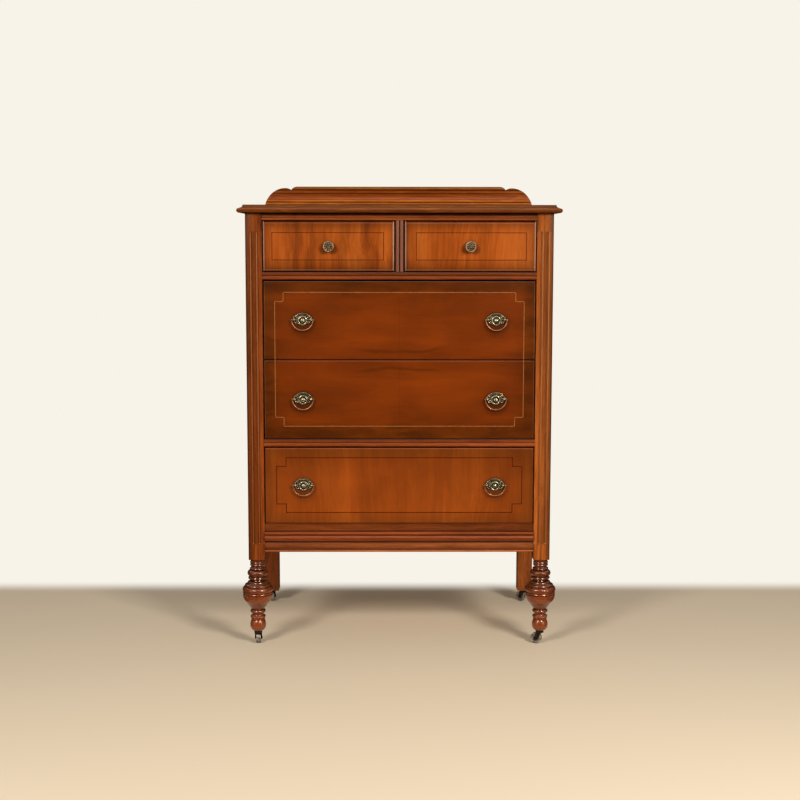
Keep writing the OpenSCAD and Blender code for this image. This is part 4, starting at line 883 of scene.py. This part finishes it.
# %% Chase the brasses
chasing, given = new_group("Swellings on an arc", "GeometryNodeTree", {
    "Centres": "Geometry", "Count": "Int", "Radius": "Float", "Start": "Float", "Sweep": "Float",
    "Lean": "Float", "Swelling": "Vector", "Finish": "Material"}, {"Ornament": "Geometry"})
step = add(chasing, "Math", [add(chasing, "GeometryNodeInputIndex"), 0.5], operation="ADD")
step = add(chasing, "Math", [step, given.outputs["Count"]], operation="DIVIDE")
angle = add(chasing, "Math", [step, given.outputs["Sweep"], given.outputs["Start"]], operation="MULTIPLY_ADD")
across, rise = (
    add(chasing, "Math", [add(chasing, "Math", [angle], operation=wave), given.outputs["Radius"]],
        operation="MULTIPLY")
    for wave in ("COSINE", "SINE")
)
spot = add(chasing, "CombineXYZ", {"X": across, "Z": rise})
row = add(chasing, "GeometryNodePoints", {"Count": given.outputs["Count"], "Position": spot})
turned = add(chasing, "Math", [angle, given.outputs["Lean"]], operation="ADD")
turned = add(chasing, "Math", [turned, -1], operation="MULTIPLY")
turned = add(chasing, "CombineXYZ", {1: turned})
turned = add(chasing, "FunctionNodeEulerToRotation", [turned])
ball = add(chasing, "GeometryNodeMeshUVSphere", {"Segments": 8, "Rings": 6, "Radius": 0.5})
ball = add(chasing, "GeometryNodeSetShadeSmooth", [ball])
one = add(chasing, "GeometryNodeInstanceOnPoints", {"Points": row, "Instance": ball, "Rotation": turned,
    "Scale": given.outputs["Swelling"]})
every = add(chasing, "GeometryNodeInstanceOnPoints", {"Points": given.outputs["Centres"], "Instance": one})
solid = add(chasing, "GeometryNodeRealizeInstances", [every])
solid = add(chasing, "GeometryNodeSetMaterial", {"Geometry": solid, "Material": given.outputs["Finish"]})
add(chasing, "NodeGroupOutput", [solid])

ROPE = worn_metal("rubbed cast brass, rope edges", "#2a180c", "#aa876a", "#88755a", 0.45, 0.34, 0.0012, 0.75)
LEAVES = worn_metal("rubbed cast brass, leaves", "#1a1408", "#8d7c62", "#626048", 0.4, 0.28, 0.0012, 0.8)
RIM = worn_metal("rubbed cast brass, knob rims", "#3a2414", "#ecc8a4", "#ccaa88", 0.42, 0.32, 0.0022, 0.5)
GRIP = worn_metal("rubbed cast brass, knobs", "#120c04", "#d2ae80", "#a2895f", 0.42, 0.32, 0.0022, 0.6)


def chase(name, body, centres, out, count, radius, arc, swelling, finish, lean=0):
    """Lays swellings, in mm and degrees, on an arc round each centre, out from the face."""
    start, end = arc
    thing = drawn(name, [(x, FACE_Y - out / 1000, z) for x, z in centres], [], [])
    plain_piece(thing, chasing, {
        "Count": count, "Radius": radius / 1000, "Start": math.radians(start),
        "Sweep": math.radians(end - start), "Lean": math.radians(lean),
        "Swelling": [v / 1000 for v in swelling], "Finish": finish,
    })
    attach(thing, body)
    return thing


# Name, mm below the bail's pivot, and what chase() takes from out on
ON_PLATES = (
    ("rope_edge", 10.5, 2.9, 46, 26.2, (23, 157), (2.3, 1.0, 0.8), ROPE, 40),
    ("boss_leaves", 2.6, 2.3, 13, 15.9, (30, 150), (4.2, 2.2, 1.5), LEAVES),
    ("dome_gadroons", 2.6, 3.7, 12, 4.4, (0, 360), (4.4, 1.5, 1.3), LEAVES),
    ("boss_beads", 2.6, 3.0, 40, 11.9, (0, 360), (1.5, 1.3, 1.0), ROPE),
)
ON_KNOBS = (
    ("rope", 16.5, 34, 11.9, (0, 360), (3.2, 1.3, 1.3), RIM, 40),
    ("petals", 16.6, 10, 7.4, (0, 360), (4.6, 1.5, 1.7), GRIP),
    ("heart", 18.1, 6, 2.6, (0, 360), (3.4, 1.7, 1.6), GRIP),
)
# The bail turns about the middle of its eyes, this far below the head of the plate
PIVOT_DOWN = 0.017
made = []
for drawer in ("upper", "middle", "bottom"):
    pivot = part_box(f"{drawer}_pull_plates")[1][2] - PIVOT_DOWN
    bails = [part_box(f"{drawer}_{side}_bail") for side in ("left", "right")]
    for name, down, *rest in ON_PLATES:
        centres = [((low[0] + high[0]) / 2, pivot - down / 1000) for low, high in bails]
        made.append(chase(f"{drawer}_{name}", f"drawer_{drawer}", centres, *rest))
for side in ("left", "right"):
    low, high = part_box(f"{side}_knob")
    centre = [((low[0] + high[0]) / 2, (low[2] + high[2]) / 2)]
    for name, *rest in ON_KNOBS:
        made.append(chase(f"{side}_knob_{name}", f"drawer_top_{side}", centre, *rest))
print(len(made), "chased pieces,", sum(len(thing.data.polygons) for thing in made), "faces")
